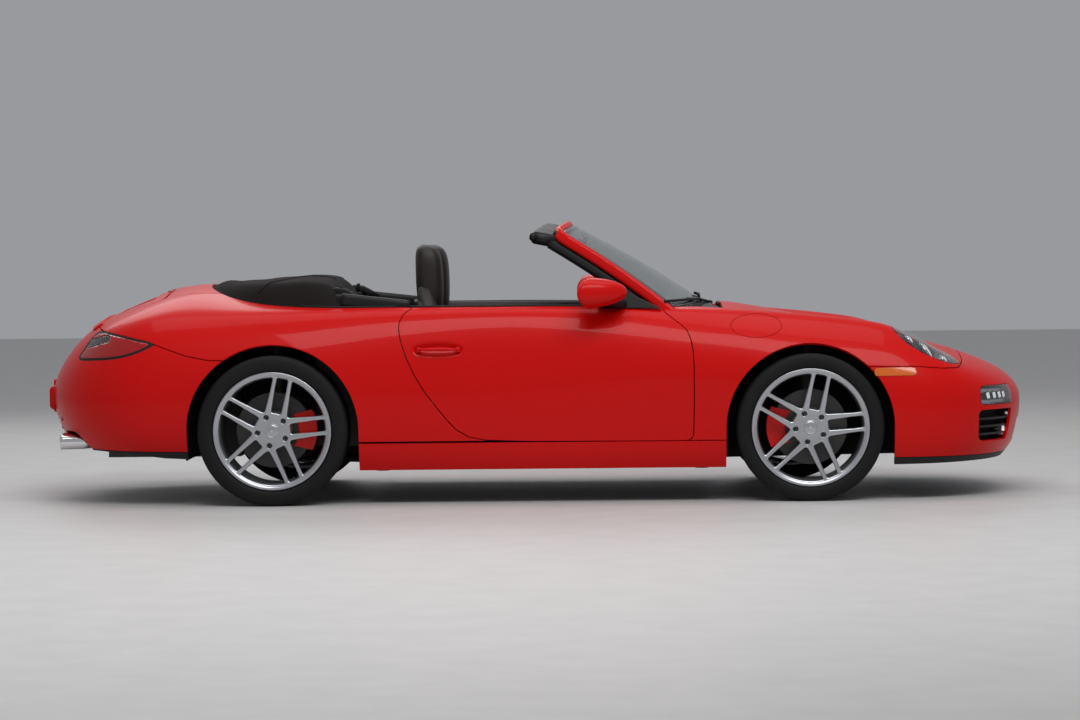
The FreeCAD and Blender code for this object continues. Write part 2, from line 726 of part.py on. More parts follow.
flapPinR = 3.0
flapHinge = flapMid + Vector(flapLong - 12, 0, 0) - flapNormal * 6
flapBore = Part.makeCylinder(flapPinR + pinFit, 90, flapHinge - flapUp * 45, flapUp)
flapPin = Part.makeCylinder(flapPinR, 110, flapHinge - flapUp * 55, flapUp)
addShape("fuel_flap", flap.cut(flapBore))
rightFender = fuse([rightFender, flapPin])
addShape("front_fender_right", rightFender)

# ---------------------------------------------------------------- structure
floorLow = size("floorLow") + 34
floorTop = floorLow + size("floorThick")
tubHalf = 420.0
cowlLow, railTop, shelfTop = 790.0, 412.0, 758.0
joint = size("seat")
# faces that other pieces meet: the crossmember's front and the rear bulkhead's two sides
engineBack = 788.0
bulkheadBack, bulkheadFront = 150.0, 170.0
wallX0 = rearAxle - 392
wallX1 = rearAxle + 392
frontX0 = frontAxle - 396
frontX1 = frontAxle + 396
# the sheet-metal frame: x from, x to, y from, y to, z from, z to
middleBoxes = {
    "cabin floor": (wallX1, frontX0, -745, 745, floorLow, floorTop),
    "luggage floor": (frontX0 - 5, frontX1 + 30, -tubHalf, tubHalf, floorLow, floorTop),
    "front bulkhead": (frontX0 - 20, frontX0, -735, 735, floorLow, cowlLow),
    "rear bulkhead": (rearAxle + bulkheadBack, rearAxle + bulkheadFront, -520, 520, floorLow, 700),
    "luggage front wall": (frontX1 + 45, frontX1 + 60, -tubHalf, tubHalf, floorLow, 640),
    "rear crossmember": (rearAxle - 848, rearAxle - engineBack, -520, 520, 330, railTop),
    "shelf under the folded top": (cockpitRear - 8, rearAxle + 250, -520, 520, 742, shelfTop),
    "shelf front": (rearAxle + 150, wallX1 + 60, -560, 560, 700, 742),
    "front bumper arm": (frontX1 + 40, noseX, -120, 120, 350, 400),
    "front cross beam": (towMouth.x - 60, towMouth.x, -railMid, railMid, 340, 400),
    "cowl panel": (cowlX - 235, frontX0, -730, 730, 775, cowlLow),
}
sideBoxes = {
    "sill beam": (wallX1, frontX0, 700, 780, floorLow, sillTop - 12),
    "hinge post": (doorFrontX + 16, frontX0, 560, 850, floorLow, 820),
    "luggage side wall": (frontX0 - 5, frontX1 + 60, tubHalf - 15, tubHalf, floorLow, 690),
    "wing rail": (frontX0 - 5, frontX1 + 60, tubHalf - 15, 700, 690, 706),
    "front crash rail": (frontX1 + 40, towMouth.x, railMid - railHalf, railMid + railHalf, 250, 340),
    "front outrigger": (frontX1 + 20, frontX1 + 50, 400, 850, 400, 560),
    "rear wheelhouse wall": (wallX0, wallX1 + 5, 500, 520, 470, 742),
    "rear wheelhouse roof": (wallX0 - 60, wallX1 + 60, 500, 800, 742, shelfTop),
    "engine rail": (wallX0 - 400, wallX0 + 5, 440, 520, 330, railTop),
    "engine rail post": (wallX0 - 30, wallX0, 440, 520, 330, shelfTop),
    "bumper bracket": (tailX + 85, rearAxle - engineBack, 330, 400, 300, railTop),
    "tail rail": (tailX, rearAxle - engineBack, 250, 330, 440, 480),
    "tail rail foot": (rearAxle - 870, rearAxle - engineBack, 250, 450, 380, 480),
}
engineFloor = box(wallX0, wallX1 + 5, -520, 520, floorLow, floorTop)
axleOpening = box(wallX0 - 1, rearAxle + 150, -400, 400, 0, 400)
frame = [engineFloor.cut(axleOpening)]
for sizes in middleBoxes.values():
    frame.append(box(*sizes))
for sizes in sideBoxes.values():
    frame += both(*sizes)
postEdge = [
    (doorFrontX - 1284, 820),
    (doorFrontX - 1288, 762),
    (doorFrontX - 1190, 498, doorFrontX - 1254, 628),
    (doorFrontX - 930, 270, doorFrontX - 1082, 344),
    (doorFrontX - 930, floorLow),
    (doorFrontX - 1400, floorLow),
    (doorFrontX - 1400, 820),
]
bPost = sidePrism(postEdge, 0, 690, 860)
frame += [bPost, mirrored(bPost)]
body = fuse(frame).common(carried)
body = body.cut(houses).cut(doorZone.common(fuse(both(-far, far, 735, far, 0, 2000))))
driveHole = cylinderY(70, rearAxle, rearZ, -far, far)
body = body.cut(driveHole)
ears = []
for y in earAt:
    ears.append(cylinderY(lidPinR + 3, lidAxisX, lidAxisZ, y - earHalf, y + earHalf))
    ears.append(box(lidAxisX - 7, lidAxisX + 3, y - earHalf, y + earHalf, 780, lidAxisZ))
    ears.append(box(frontX0 - 10, lidAxisX + 3, y - earHalf, y + earHalf, 775, 790))
    ears.append(cylinderY(lidPinR + 3, engineAxisX, engineAxisZ, y - earHalf, y + earHalf))
    ears.append(box(engineAxisX - 3, engineAxisX + 7, y - earHalf, y + earHalf, 745, engineAxisZ))
    ears.append(box(engineAxisX - 3, cockpitRear + 20, y - earHalf, y + earHalf, 742, 758))
ears += lidPins(lidAxisX, lidAxisZ) + lidPins(engineAxisX, engineAxisZ)
body = fuse([body] + ears + doorHinges)
jackPads = []
for x in (rearAxle + 470, frontAxle - 470):
    for y in (-660, 660):
        jackPads.append(Part.makeCylinder(30, floorLow + 5 - size("jackPadLow"),
                                          Vector(x, y, size("jackPadLow"))))
towBossLong = 60.0
towBoss = Part.makeCylinder(towWayRadius, towBossLong, towMouth - Vector(towBossLong, 0, 0), Vector(1, 0, 0))
towThread = Part.makeCylinder(size("towBoltRadius"), size("towBoltDeep") + 1,
                              towMouth - Vector(size("towBoltDeep"), 0, 0), Vector(1, 0, 0))
body = fuse([body, towBoss] + jackPads).cut(towThread).cut(towWay).cut(headlampPrism(1, 3))
rearSplit = rearAxle + 149
addShape("floor_pan", body.common(box(rearSplit, frontX0, -far, far, 0, 2000)))
addShape("luggage_tub", body.common(box(frontX0 + joint, far, -far, far, 0, 2000)))
addShape("rear_frame", body.common(box(-far, rearSplit - joint, -far, far, 0, 2000)))

# ---------------------------------------------------------------- windscreen
baseMid = (frontAxle - 440, 880.0)
baseEnd = (frontAxle - 605, 850.0)
headMid = (frontAxle - 972, size("headerHeight") - 4)
headEnd = (frontAxle - 1045, size("headerHeight") - 14)
baseHalf, headHalf = 728.0, 575.0


def screenPoint(across, up):
    """A point on the windscreen's face: across -1 to 1, up 0 to 1."""
    bow = across * across
    bx = baseMid[0] + (baseEnd[0] - baseMid[0]) * bow
    bz = baseMid[1] + (baseEnd[1] - baseMid[1]) * bow
    hx = headMid[0] + (headEnd[0] - headMid[0]) * bow
    hz = headMid[1] + (headEnd[1] - headMid[1]) * bow
    low = Vector(bx, baseHalf * across, bz)
    high = Vector(hx, headHalf * across, hz)
    return low + (high - low) * up


screenOut = Vector(0.53, 0, 0.848)


def screenSlab(across, low, high, rise, thick):
    """Part of the windscreen's surface as a slab, its face raised by rise."""
    ends2 = []
    for up in (low, high):
        points = [screenPoint(a, up) + screenOut * rise for a in (-across, 0, across)]
        ends2.append(Part.Arc(*points).toShape())
    face = Part.makeRuledSurface(ends2[0], ends2[1])
    return face.extrude(screenOut * -thick)


pillar = size("pillarWide") / baseHalf
frameOut = screenSlab(1.0, -0.02, 1.0, 8, 34)
frameHole = screenSlab(1.0 - pillar, 0.045, 0.93, 60, 160)
cowlBase = cowlLow + joint
frameLow = box(-far, far, -far, far, cowlBase, 2000)
screenFrame = frameOut.cut(frameHole).common(frameLow)
screenFeet = []
for side in (-1, 1):
    foot = box(frontAxle - 640, frontAxle - 560, 655, 728, cowlBase, 858)
    screenFeet.append(foot if side > 0 else mirrored(foot))
screenFrame = fuse([screenFrame] + screenFeet)
screenFrame = screenFrame.cut(leftFender)
screenFrame = screenFrame.cut(rightFender)
addShape("windscreen_frame", screenFrame)
glass = screenSlab(1.0 - pillar - 0.0006, 0.046, 0.929, 0, size("glassThick"))
addShape("windscreen", glass)

cowl = planPrism([
    (cowlX - 2, -560),
    (cowlX - 2, 560),
    (frontAxle - 470, 640),
    (frontAxle - 470, -640),
], 0, cowlBase, 846)
cowl = cowl.cut(screenSlab(1.0, -0.3, 1.0, 9, 200))
cowl = cowl.cut(body).cut(leftFender).cut(rightFender)
addShape("cowl", cowl)

# ---------------------------------------------------------------- cabin
dashLow = 560.0
dashSide = [
    (frontX0 - 21, dashLow),
    (frontX0 - 21, 774),
    (frontX0 - 235, 790, frontX0 - 130, 800),
    (frontX0 - 370, 740, frontX0 - 320, 800),
    (frontX0 - 380, 640),
    (frontX0 - 240, dashLow),
]
dash = sidePrism(dashSide, 0, -640, 640)
driverY = size("driverSide")
wheelTilt = 24.0
wheelAxis = Vector(-math.cos(math.radians(wheelTilt)), 0, math.sin(math.radians(wheelTilt)))
wheelMid = Vector(frontAxle - 985, driverY, 722)
columnLong, columnPinR = 260.0, 12.0
column = Part.makeCylinder(38, columnLong - 30, wheelMid - wheelAxis * columnLong, wheelAxis)
columnPin = Part.makeCylinder(columnPinR, columnLong + 2, wheelMid - wheelAxis * columnLong, wheelAxis)
visor = box(frontX0 - 360, frontX0 - 240, driverY - 170, driverY + 170, 760, 842)
dash = fuse([dash, visor, column]).cut(body)
dash = fuse([dash, columnPin])
addShape("dashboard", dash)

consoleHalf, consoleTop = 105.0, 420.0
seatFloor = floorTop + joint
console = fuse([box(rearAxle + 640, frontX0 - 345, -consoleHalf, consoleHalf, seatFloor, consoleTop),
                box(frontX0 - 346, frontX0 - 200, -consoleHalf, consoleHalf, seatFloor, dashLow - joint)])
addShape("console", console)


def chair(width, backTop, headTop):
    """A bucket seat about its own middle line, facing forward, its foot on the floor."""
    half = width / 2
    foot = box(-190, 180, -half + 60, half - 60, 0, 60)
    cushion = sidePrism([(-230, 55), (-230, 170), (220, 235, 0, 175), (262, 190),
                         (230, 100), (40, 60)], 0, -half, half)
    back = sidePrism([(-270, 110), (-372, backTop), (-340, backTop + 26, -362, backTop + 20),
                      (-278, backTop - 60), (-150, 175), (-180, 110)], 0, -half + 15, half - 15)
    headHalf = 125
    head = sidePrism([(-368, backTop), (-392, headTop - 20), (-345, headTop, -376, headTop - 2),
                      (-292, backTop + 60), (-278, backTop - 60), (-330, backTop - 80)],
                     0, -headHalf, headHalf)
    return fuse([foot, cushion, back, head])


chairX = frontAxle - 1352
backTop = 800.0
for side in sides:
    seatShape = chair(size("seatWide"), backTop, size("headrestTop") - seatFloor)
    seatShape.translate(Vector(chairX, sides[side] * driverY, seatFloor))
    addShape("seat_%s" % side, seatShape)

benchParts = []
benchMid, benchHalf = 300, 190
for y in (-benchMid, benchMid):
    y0, y1 = y - benchHalf, y + benchHalf
    benchParts.append(box(rearAxle + 215, rearAxle + 500, y0, y1, seatFloor, 420))
    benchParts.append(sidePrism([(rearAxle + 171, 421), (rearAxle + 171, 690),
                                 (rearAxle + 215, 690), (rearAxle + 260, 415)], 0, y0, y1))
benchParts.append(box(rearAxle + bulkheadFront + joint, rearAxle + 460, -490, 490, seatFloor, 330))
addShape("rear_seat", fuse(benchParts))

# ---------------------------------------------------------------- folded top
topSide = [
    (cockpitRear + 20, 800),
    (cockpitRear + 12, 930),
    (cockpitRear + 22, 968, cockpitRear + 4, 952),
    (rearAxle - 150, 996, rearAxle - 235, 988),
    (rearAxle + 200, 1000, rearAxle + 20, 1006),
    (rearAxle + 268, 930, rearAxle + 262, 985),
    (rearAxle + 260, shelfTop + joint),
    (rearAxle - 60, shelfTop + joint),
]
topPlan = planPrism([
    (rearAxle + 300, -640),
    (rearAxle + 300, 640),
    (rearAxle - 60, 610),
    (cockpitRear + 14, 380, rearAxle - 240, 545),
    (cockpitRear + 14, -380, cockpitRear - 10, 0),
    (rearAxle - 60, -610, rearAxle - 240, -545),
], 0, 700, 1300)
softTop = sidePrism(topSide).common(topPlan)
softTop = softTop.cut(fuse([body, outer.common(box(-far, cockpitRear + 2, -far, far, 0, 2000))]))
quarterSides = fuse([quarterLeft, mirrored(quarterLeft)])
softTop = softTop.cut(quarterSides)
addShape("soft_top", softTop)

# the painted cover between the folded top and the engine lid
coverHalf = 420.0 - joint
coverZone = box(engineHingeX + lidFrontGap + joint / 2, cockpitRear + 40, -coverHalf, coverHalf, 700, 1300)
cover = shell.common(coverZone).cut(cockpit).cut(softTop)
addShape("top_cover", cover)

# trim behind and beside the rear seats
trim = planPrism([
    (rearAxle + 266, -699),
    (rearAxle + 266, 699),
    (rearAxle + 480, 699),
    (rearAxle + 480, 560),
    (rearAxle + 300, 545),
    (rearAxle + 300, -545),
    (rearAxle + 480, -560),
    (rearAxle + 480, -699),
], 0, shelfTop + joint, 862)
trim = trim.cut(quarterSides).cut(body)
addShape("cabin_trim", trim)

# ---------------------------------------------------------------- lamps and trim
deep = size("lampDeep")
lampThick, stripThick, markerThick = 45.0, 32.0, 16.0
backSkin = bodySolid(lampThick)
lamps = outer.common(headlampPrism(0, 1)).cut(backSkin).cut(hood(1))
addShape("headlamps", lamps)
addShape("tail_lamps", outer.common(tailLampPrism(0)).cut(backSkin))


def shrunk(shape, by):
    b = shape.BoundBox
    return box(b.XMin + by, b.XMax - by, b.YMin + by, b.YMax - by, b.ZMin + by, b.ZMax - by)


shallow = bodySolid(stripThick)
addShape("bumper_lamps", fuse([outer.common(shrunk(b, lampGap)).cut(shallow) for b in bumperLamps]))
addShape("side_markers", outer.common(shrunk(sideMarker, lampGap)).cut(bodySolid(markerThick))
         .common(fuse(both(0, far, 600, far, 0, 2000))))
slats = []
slatHalf, slatLevels = 5.0, (285.0, 340.0)
grilleBack, grilleFront, middleBack, middleFront = 50.0, 38.0, 30.0, 16.0
middleHalf = railMid - railHalf - 14
for hole in intakes:
    b = hole.BoundBox
    opening = outer.common(shrunk(hole, lampGap))
    behind = opening.common(bodySolid(grilleFront)).cut(bodySolid(grilleBack))
    bars = [box(b.XMin, b.XMax, b.YMin, b.YMax, z - slatHalf, z + slatHalf) for z in slatLevels]
    slats.append(fuse([behind, opening.common(fuse(bars)).cut(bodySolid(grilleBack))]))
opening = outer.common(shrunk(centreIntake, lampGap))
middle = opening.common(bodySolid(middleFront)).cut(bodySolid(middleBack))
slats.append(middle.common(box(-far, far, -middleHalf, middleHalf, 0, 2000)))
addShape("intake_grilles", fuse(slats))

# ---------------------------------------------------------------- engine and exhaust
engineBlock = doc.addObject("Part::Box", "engine")
engineBlock.Label = "engine"
bind(engineBlock, {
    "Length": "sizes.engineLong",
    "Width": "sizes.engineWide",
    "Height": "sizes.engineHigh",
    "Placement.Base.x": axleX["rear"] + " - %s + sizes.seat" % engineBack,
    "Placement.Base.y": "-(sizes.engineWide / 2)",
    "Placement.Base.z": "sizes.engineLow",
})
pieces.append(engineBlock)
doc.recompute()
gearX = rearAxle - engineBack + size("engineLong") + 2 * joint
gearHalf, gearLow, gearTop = 150, 210, 450
addShape("gearbox", box(gearX, rearAxle + bulkheadBack - joint, -gearHalf, gearHalf, gearLow, gearTop))

tipParts = []
tipR, tipWall = size("tipRadius"), size("tipWall")
tipX, tipZ, tipLong, tipDeep = tailX + 100, 276.0, 150.0, 130.0
for y in (510, 592):
    pipe = Part.makeCylinder(tipR, tipLong, Vector(tipX, y, tipZ), Vector(1, 0, 0))
    hollow = Part.makeCylinder(tipR - tipWall, tipDeep + 1, Vector(tipX - 1, y, tipZ), Vector(1, 0, 0))
    tipParts.append(pipe.cut(hollow))
muffler = box(tipX + tipLong - 1, rearAxle - 560, 405, 640, 215, 325)
manifold = box(rearAxle - 700, rearAxle - 640, size("engineWide") / 2 + joint, 406, 235, 300)
exhaustLeft = fuse([fuse([muffler, manifold]).common(carried)] + tipParts)
addShape("exhaust", Part.makeCompound([exhaustLeft, mirrored(exhaustLeft)]))

# ---------------------------------------------------------------- hubs, brakes and suspension
pinInset = size("kingpinInset")
knuckleTop = 80.0
armThick = 28.0
armGap = 4.0
caliperIn, caliperOut, caliperWall = 22.0, 25.0, 16.0
bracketThick = 16.0
kingR = size("kingpinRadius")


def caliperShape(turnDeg):
    """A caliper over the disc, in the wheel's own frame, street side -Y."""
    gap = size("caliperGap")
    discOut = size("discBack") - size("discThick")
    whole = cylinderY(size("discRadius") + caliperOut, 0, 0, discOut - caliperWall,
                      size("discBack") + caliperWall + gap)
    whole = whole.cut(cylinderY(size("discHatRadius") + caliperIn, 0, 0, -far, far))
    slot = cylinderY(size("discRadius") + gap, 0, 0, discOut - gap, size("discBack") + gap)
    wedge = planPrism([(60, -62), (250, -110), (250, 110), (60, 62)], 0, -far, far)
    wedge.rotate(Vector(0, 0, 0), Vector(1, 0, 0), 90)
    block = whole.common(wedge).cut(slot)
    block.rotate(Vector(0, 0, 0), Vector(0, 1, 0), -turnDeg)
    return block


def bracket(turnDeg):
    """From the upright to the caliper's inner face."""
    inner = size("discBack") + caliperWall + size("caliperGap") + joint
    arm = box(40, 160, inner, inner + bracketThick, -34, 34)
    arm.rotate(Vector(0, 0, 0), Vector(0, 1, 0), -turnDeg)
    return arm


def upright(hub, steered, turnDeg):
    """Hub carrier with its stub axle, in the wheel's own frame."""
    spindleEnd = -(hub + size("hubDeep") - size("hubCap") - 3)
    parts = [cylinderY(size("spindleRadius"), 0, 0, spindleEnd, -20)]
    parts.append(cylinderY(62, 0, 0, -hub + size("hatWall") + 4, 48))
    parts.append(box(-34, 34, pinInset - 30, pinInset + 24, -knuckleTop, knuckleTop))
    parts.append(bracket(turnDeg))
    shape = fuse(parts)
    if steered:
        hole = Part.makeCylinder(kingR + size("kingpinFit"), 400, Vector(0, pinInset, -200))
        shape = shape.cut(hole)
    return shape


def atWheel(shape, end, side):
    """A right-hand wheel piece moved to its own corner of the car."""
    moved = shape.copy()
    if side == "left":
        moved = mirrored(moved)
    x = frontAxle if end == "front" else rearAxle
    z = frontZ if end == "front" else rearZ
    half = size("frontHalfTrack") if end == "front" else size("rearHalfTrack")
    moved.translate(Vector(x, sides[side] * half, z))
    return moved


caliperTurn = {"front": 180.0, "rear": 0.0}
for side in sides:
    knuckle = upright(size("frontHubOffset"), True, caliperTurn["front"])
    addShape("knuckle_%s" % side, atWheel(knuckle, "front", side))
    addShape("caliper_front_%s" % side, atWheel(caliperShape(caliperTurn["front"]), "front", side))
rearCalipers = [atWheel(caliperShape(caliperTurn["rear"]), "rear", side) for side in sides]
addShape("calipers_rear", Part.makeCompound(rearCalipers))

# arms run straight in from the pin's ends, inside the rim, so a steered wheel stays clear
frontArms = []
kingY = size("frontHalfTrack") - pinInset
armLow, armHigh = knuckleTop + armGap, knuckleTop + armGap + armThick
armHalf = 25
for z0, z1 in ((-armHigh, -armLow), (armLow, armHigh)):
    reach = tubHalf + joint if z0 > 0 else 200
    frontArms.append(box(frontAxle - armHalf, frontAxle + armHalf, reach, kingY + armHalf,
                         frontZ + z0, frontZ + z1))
frontArms.append(Part.makeCylinder(kingR, 2 * armHigh, Vector(frontAxle, kingY, frontZ - armHigh)))
strutLow = frontZ - armHigh + 8
frontArms.append(Part.makeCylinder(34, 690 - strutLow, Vector(frontAxle, 520, strutLow)))
frontArmsLeft = fuse(frontArms)
crossMember = box(frontAxle - 70, frontAxle + 70, -390, 390, floorTop + joint, frontZ - armLow)
frontGear = fuse([frontArmsLeft, mirrored(frontArmsLeft), crossMember]).cut(body)
addShape("suspension_front", frontGear)

rearUpright = atWheel(upright(size("rearHubOffset"), False, caliperTurn["rear"]), "rear", "left")
rearArms = [rearUpright]
rearY = size("rearHalfTrack") - pinInset
rearArms.append(box(rearAxle - 30, rearAxle + 30, 300, rearY, rearZ - 112, rearZ - 70))
rearArms.append(box(rearAxle - armHalf, rearAxle + armHalf, 520 + joint, rearY, rearZ + 70, rearZ + 96))
rearArms.append(Part.makeCylinder(28, 740 - rearZ + 90, Vector(rearAxle, 566, rearZ - 92)))
driveR = 19.0
rearArms.append(cylinderY(driveR, rearAxle, rearZ, gearHalf + joint, rearY))
rearArms.append(box(rearAxle - 30, rearAxle + 30, 500, 566, rearZ + 80, 460))
rearArmsLeft = fuse(rearArms).cut(body)
crossRear = box(rearAxle - 130, rearAxle + 130, -330, 330, 160, gearLow - joint)
crossRear = crossRear.cut(cylinderY(driveR + joint, rearAxle, rearZ, -far, far)).cut(body)
rearGear = fuse([rearArmsLeft, mirrored(rearArmsLeft), crossRear]).cut(engineBlock.Shape)
addShape("suspension_rear", rearGear)

# ---------------------------------------------------------------- steering wheel and mirrors
wheelTurn = Rotation(Vector(0, 0, 1), wheelAxis)
steering = doc.addObject("Part::Feature", "steering_wheel")
ring = Part.makeTorus(size("steerRadius") - size("steerGrip"), size("steerGrip"))
bossR, spokeWide, spokeDeep = 56.0, 30.0, 12.0
hubBoss = Part.makeCylinder(bossR, 30, Vector(0, 0, -26))
spokes = [Part.makeBox(size("steerRadius") - 60, spokeWide, spokeDeep,
                       Vector(bossR - 11, -spokeWide / 2, -spokeDeep))]
for turn in (180, 270):
    spoke = spokes[0].copy()
    spoke.rotate(Vector(0, 0, 0), Vector(0, 0, 1), turn)
    spokes.append(spoke)
pinEnd = 2.5
hubBore = Part.makeCylinder(columnPinR + size("spindleFit"), 50 + pinEnd, Vector(0, 0, -50))
steering.Label = "steering_wheel"
steering.Shape = fuse([ring, hubBoss] + spokes).cut(hubBore)
steering.Placement = Placement(wheelMid, wheelTurn)
pieces.append(steering)

mirrorSide = [
    (frontAxle - 1017, 905),
    (frontAxle - 1000, 975, frontAxle - 1024, 945),
    (frontAxle - 900, 985, frontAxle - 950, 990),
    (frontAxle - 790, 930, frontAxle - 835, 966),
    (frontAxle - 880, 862, frontAxle - 820, 885),
    (frontAxle - 1000, 865, frontAxle - 950, 848),
]
mirrorHead = sidePrism(mirrorSide, 0, 795, 978)
mirrorHead = mirrorHead.common(planPrism([
    (frontAxle - 1020, 810),
    (frontAxle - 1020, 960),
    (frontAxle - 900, 978, frontAxle - 970, 976),
    (frontAxle - 780, 850, frontAxle - 820, 940),
    (frontAxle - 780, 800),
], 0, 800, 1100))
mirrorFoot = box(frontAxle - 850, frontAxle - 720, 750, 830, 840, 890)
sail = sidePrism([(frontAxle - 860, 840), (frontAxle - 680, 840), (frontAxle - 840, 940)],
                 0, 750, 772)
mirror = fuse([mirrorHead, mirrorFoot, sail]).cut(outer)
addShape("mirror_left", mirror)
addShape("mirror_right", mirrored(mirror))

os.makedirs("parts", exist_ok=True)
for node in pieces:
    state = [s for s in node.State if s in ("Invalid", "Error")]
    if state or node.Shape.isNull() or not node.Shape.isValid():
        raise RuntimeError("%s is not a valid shape" % node.Label)
    node.Shape.exportStep("parts/%s.step" % node.Label)
    print(node.Label, len(node.Shape.Solids), round(node.Shape.Volume / 1e6, 3))
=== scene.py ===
import bpy
import bmesh
import math
import numpy as np
from mathutils import Vector, Matrix
from mathutils.bvhtree import BVHTree


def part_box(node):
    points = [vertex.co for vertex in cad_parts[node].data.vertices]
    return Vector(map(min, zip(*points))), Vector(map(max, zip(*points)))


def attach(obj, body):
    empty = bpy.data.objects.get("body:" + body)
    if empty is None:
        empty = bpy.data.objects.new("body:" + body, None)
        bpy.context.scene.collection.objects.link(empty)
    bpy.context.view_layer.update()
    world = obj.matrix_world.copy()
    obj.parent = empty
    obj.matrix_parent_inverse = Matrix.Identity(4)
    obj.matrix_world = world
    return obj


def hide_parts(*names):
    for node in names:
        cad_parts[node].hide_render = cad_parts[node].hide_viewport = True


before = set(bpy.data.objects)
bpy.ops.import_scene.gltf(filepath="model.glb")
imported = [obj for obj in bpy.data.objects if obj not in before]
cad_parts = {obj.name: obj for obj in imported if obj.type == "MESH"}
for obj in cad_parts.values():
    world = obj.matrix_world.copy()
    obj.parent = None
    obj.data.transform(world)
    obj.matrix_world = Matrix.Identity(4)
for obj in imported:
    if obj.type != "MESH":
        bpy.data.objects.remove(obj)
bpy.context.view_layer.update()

# real lengths of the car, metres
car = {
    "frontAxle": 1.2075,
    "rearAxle": -1.1425,
    "frontWheelZ": 0.323,
    "rearWheelZ": 0.329,
    "archRadius": 0.368,
    "rearArchRadius": 0.376,
    "shutGap": 0.0045,
    "panelEdge": 0.014,
    "lampGap": .003,
    "markerGap": .001,
    "gridStep": 0.0118,
}


def report(text):
    print("scene:", text)


# Lines that run along the car, from the sill (first) to the middle of the top (last).
# Each has knots between the tail and nose fans: their x, then (y, z) for each.
sideKnots = [-1.5, -1.14, -.5, 0, .7, 1.2, 1.55]
waistKnots = [-1.5, -1.14, -.5, 0, .4, .8, 1.2, 1.55]
shoulderKnots = [-1.5, -1.14, -.5, 0, .4, .6, .8, 1.0, 1.2, 1.4, 1.55]
bodyLines = [
    (sideKnots, [(.80, .205), (.815, .165), (.805, .142), (.80, .140), (.80, .148), (.81, .152),
     (.80, .155)]),
    (sideKnots, [(.862, .265), (.866, .235), (.846, .215), (.836, .210), (.838, .215), (.853, .22),
     (.84, .235)]),
    (sideKnots, [(.890, .37), (.893, .355), (.866, .35), (.850, .35), (.854, .35), (.873, .35),
     (.854, .345)]),
    (sideKnots, [(.899, .48), (.904, .49), (.875, .505), (.857, .51), (.872, .52), (.882, .51), (.857, .46)]),
    (waistKnots, [(.886, .60), (.893, .605), (.866, .62), (.852, .62), (.862, .62), (.872, .62), (.868, .61),
     (.836, .575)]),
    (waistKnots, [(.846, .718), (.857, .724), (.842, .742), (.831, .745), (.838, .745), (.836, .740),
     (.810, .718), (.775, .685)]),
    (shoulderKnots, [(.775, .812), (.790, .826), (.796, .842), (.790, .846), (.780, .840), (.762, .836),
     (.742, .830), (.722, .822), (.706, .808), (.690, .791), (.668, .772)]),
    (shoulderKnots, [(.690, .862), (.715, .862), (.735, .868), (.73, .868), (.72, .862), (.70, .857),
     (.672, .853), (.650, .840), (.630, .822), (.600, .800), (.575, .775)]),
    (waistKnots, [(.52, .916), (.56, .885), (.56, .872), (.56, .870), (.56, .862), (.545, .842),
     (.535, .784), (.470, .722)]),
    (waistKnots, [(.27, .955), (.28, .945), (.28, .878), (.28, .875), (.28, .872), (.28, .868), (.27, .801),
     (.235, .722)]),
    (waistKnots, [(0, .972), (0, .960), (0, .88), (0, .878), (0, .876), (0, .874), (0, .808), (0, .727)]),
]
# where each line ends on the middle plane: tail (x, z), nose (x, z)
tailEnds = [(-2.12, .255), (-2.165, .325), (-2.190, .395), (-2.203, .465), (-2.190, .555), (-2.135, .648),
    (-2.055, .738), (-1.975, .803), (-1.85, .866), (-1.71, .928), (-1.60, .963)]
noseEnds = [(2.13, .165), (2.185, .225), (2.208, .325), (2.2175, .42), (2.205, .475), (2.155, .532),
    (2.075, .578), (1.965, .622), (1.86, .656), (1.73, .690), (1.62, .712)]
# heights of each line between its side and its end, at the turns between nought and a quarter
fanTurns = [0, 17, 34, 60, 90]
noseHeights = [
    (.157, .160, .163), (.230, .228, .226), (.338, .332, .327), (.450, .438, .425),
    (.540, .510, .482), (.622, .566, .540), (.690, .610, .584), (.716, .655, .630),
    (.708, .685, .664), (.715, .705, .695), (.724, .720, .716),
]
tailHeights = [
    (.215, .228, .245), (.280, .300, .318), (.376, .384, .392), (.476, .470, .466),
    (.590, .575, .560), (.708, .690, .660), (.804, .790, .755), (.856, .845, .815),
    (.908, .895, .873), (.950, .941, .931), (.970, .967, .964),
]
noseRound, tailRound = 2.35, 2.7


def smoothThrough(xs, ys, at):
    # cubic Hermite through the knots, with slopes limited so that it never overshoots
    xs, ys, at = np.asarray(xs, float), np.asarray(ys, float), np.asarray(at, float)
    h = np.diff(xs)
    d = np.diff(ys) / h
    m = np.zeros_like(ys)
    m[1:-1] = np.where(d[:-1] * d[1:] > 0, 2 * d[:-1] * d[1:] / (d[:-1] + d[1:] + 1e-12), 0)
    slopes = (h[1:] * d[:-1] + h[:-1] * d[1:]) / (h[1:] + h[:-1])
    m[1:-1] = 0.5 * m[1:-1] + 0.5 * slopes
    m[0], m[-1] = d[0], d[-1]
    i = np.clip(np.searchsorted(xs, at) - 1, 0, len(xs) - 2)
    t = (at - xs[i]) / h[i]
    return ((2 * t ** 3 - 3 * t ** 2 + 1) * ys[i] + (t ** 3 - 2 * t ** 2 + t) * h[i] * m[i]
        + (-2 * t ** 3 + 3 * t ** 2) * ys[i + 1] + (t ** 3 - t ** 2) * h[i] * m[i + 1])


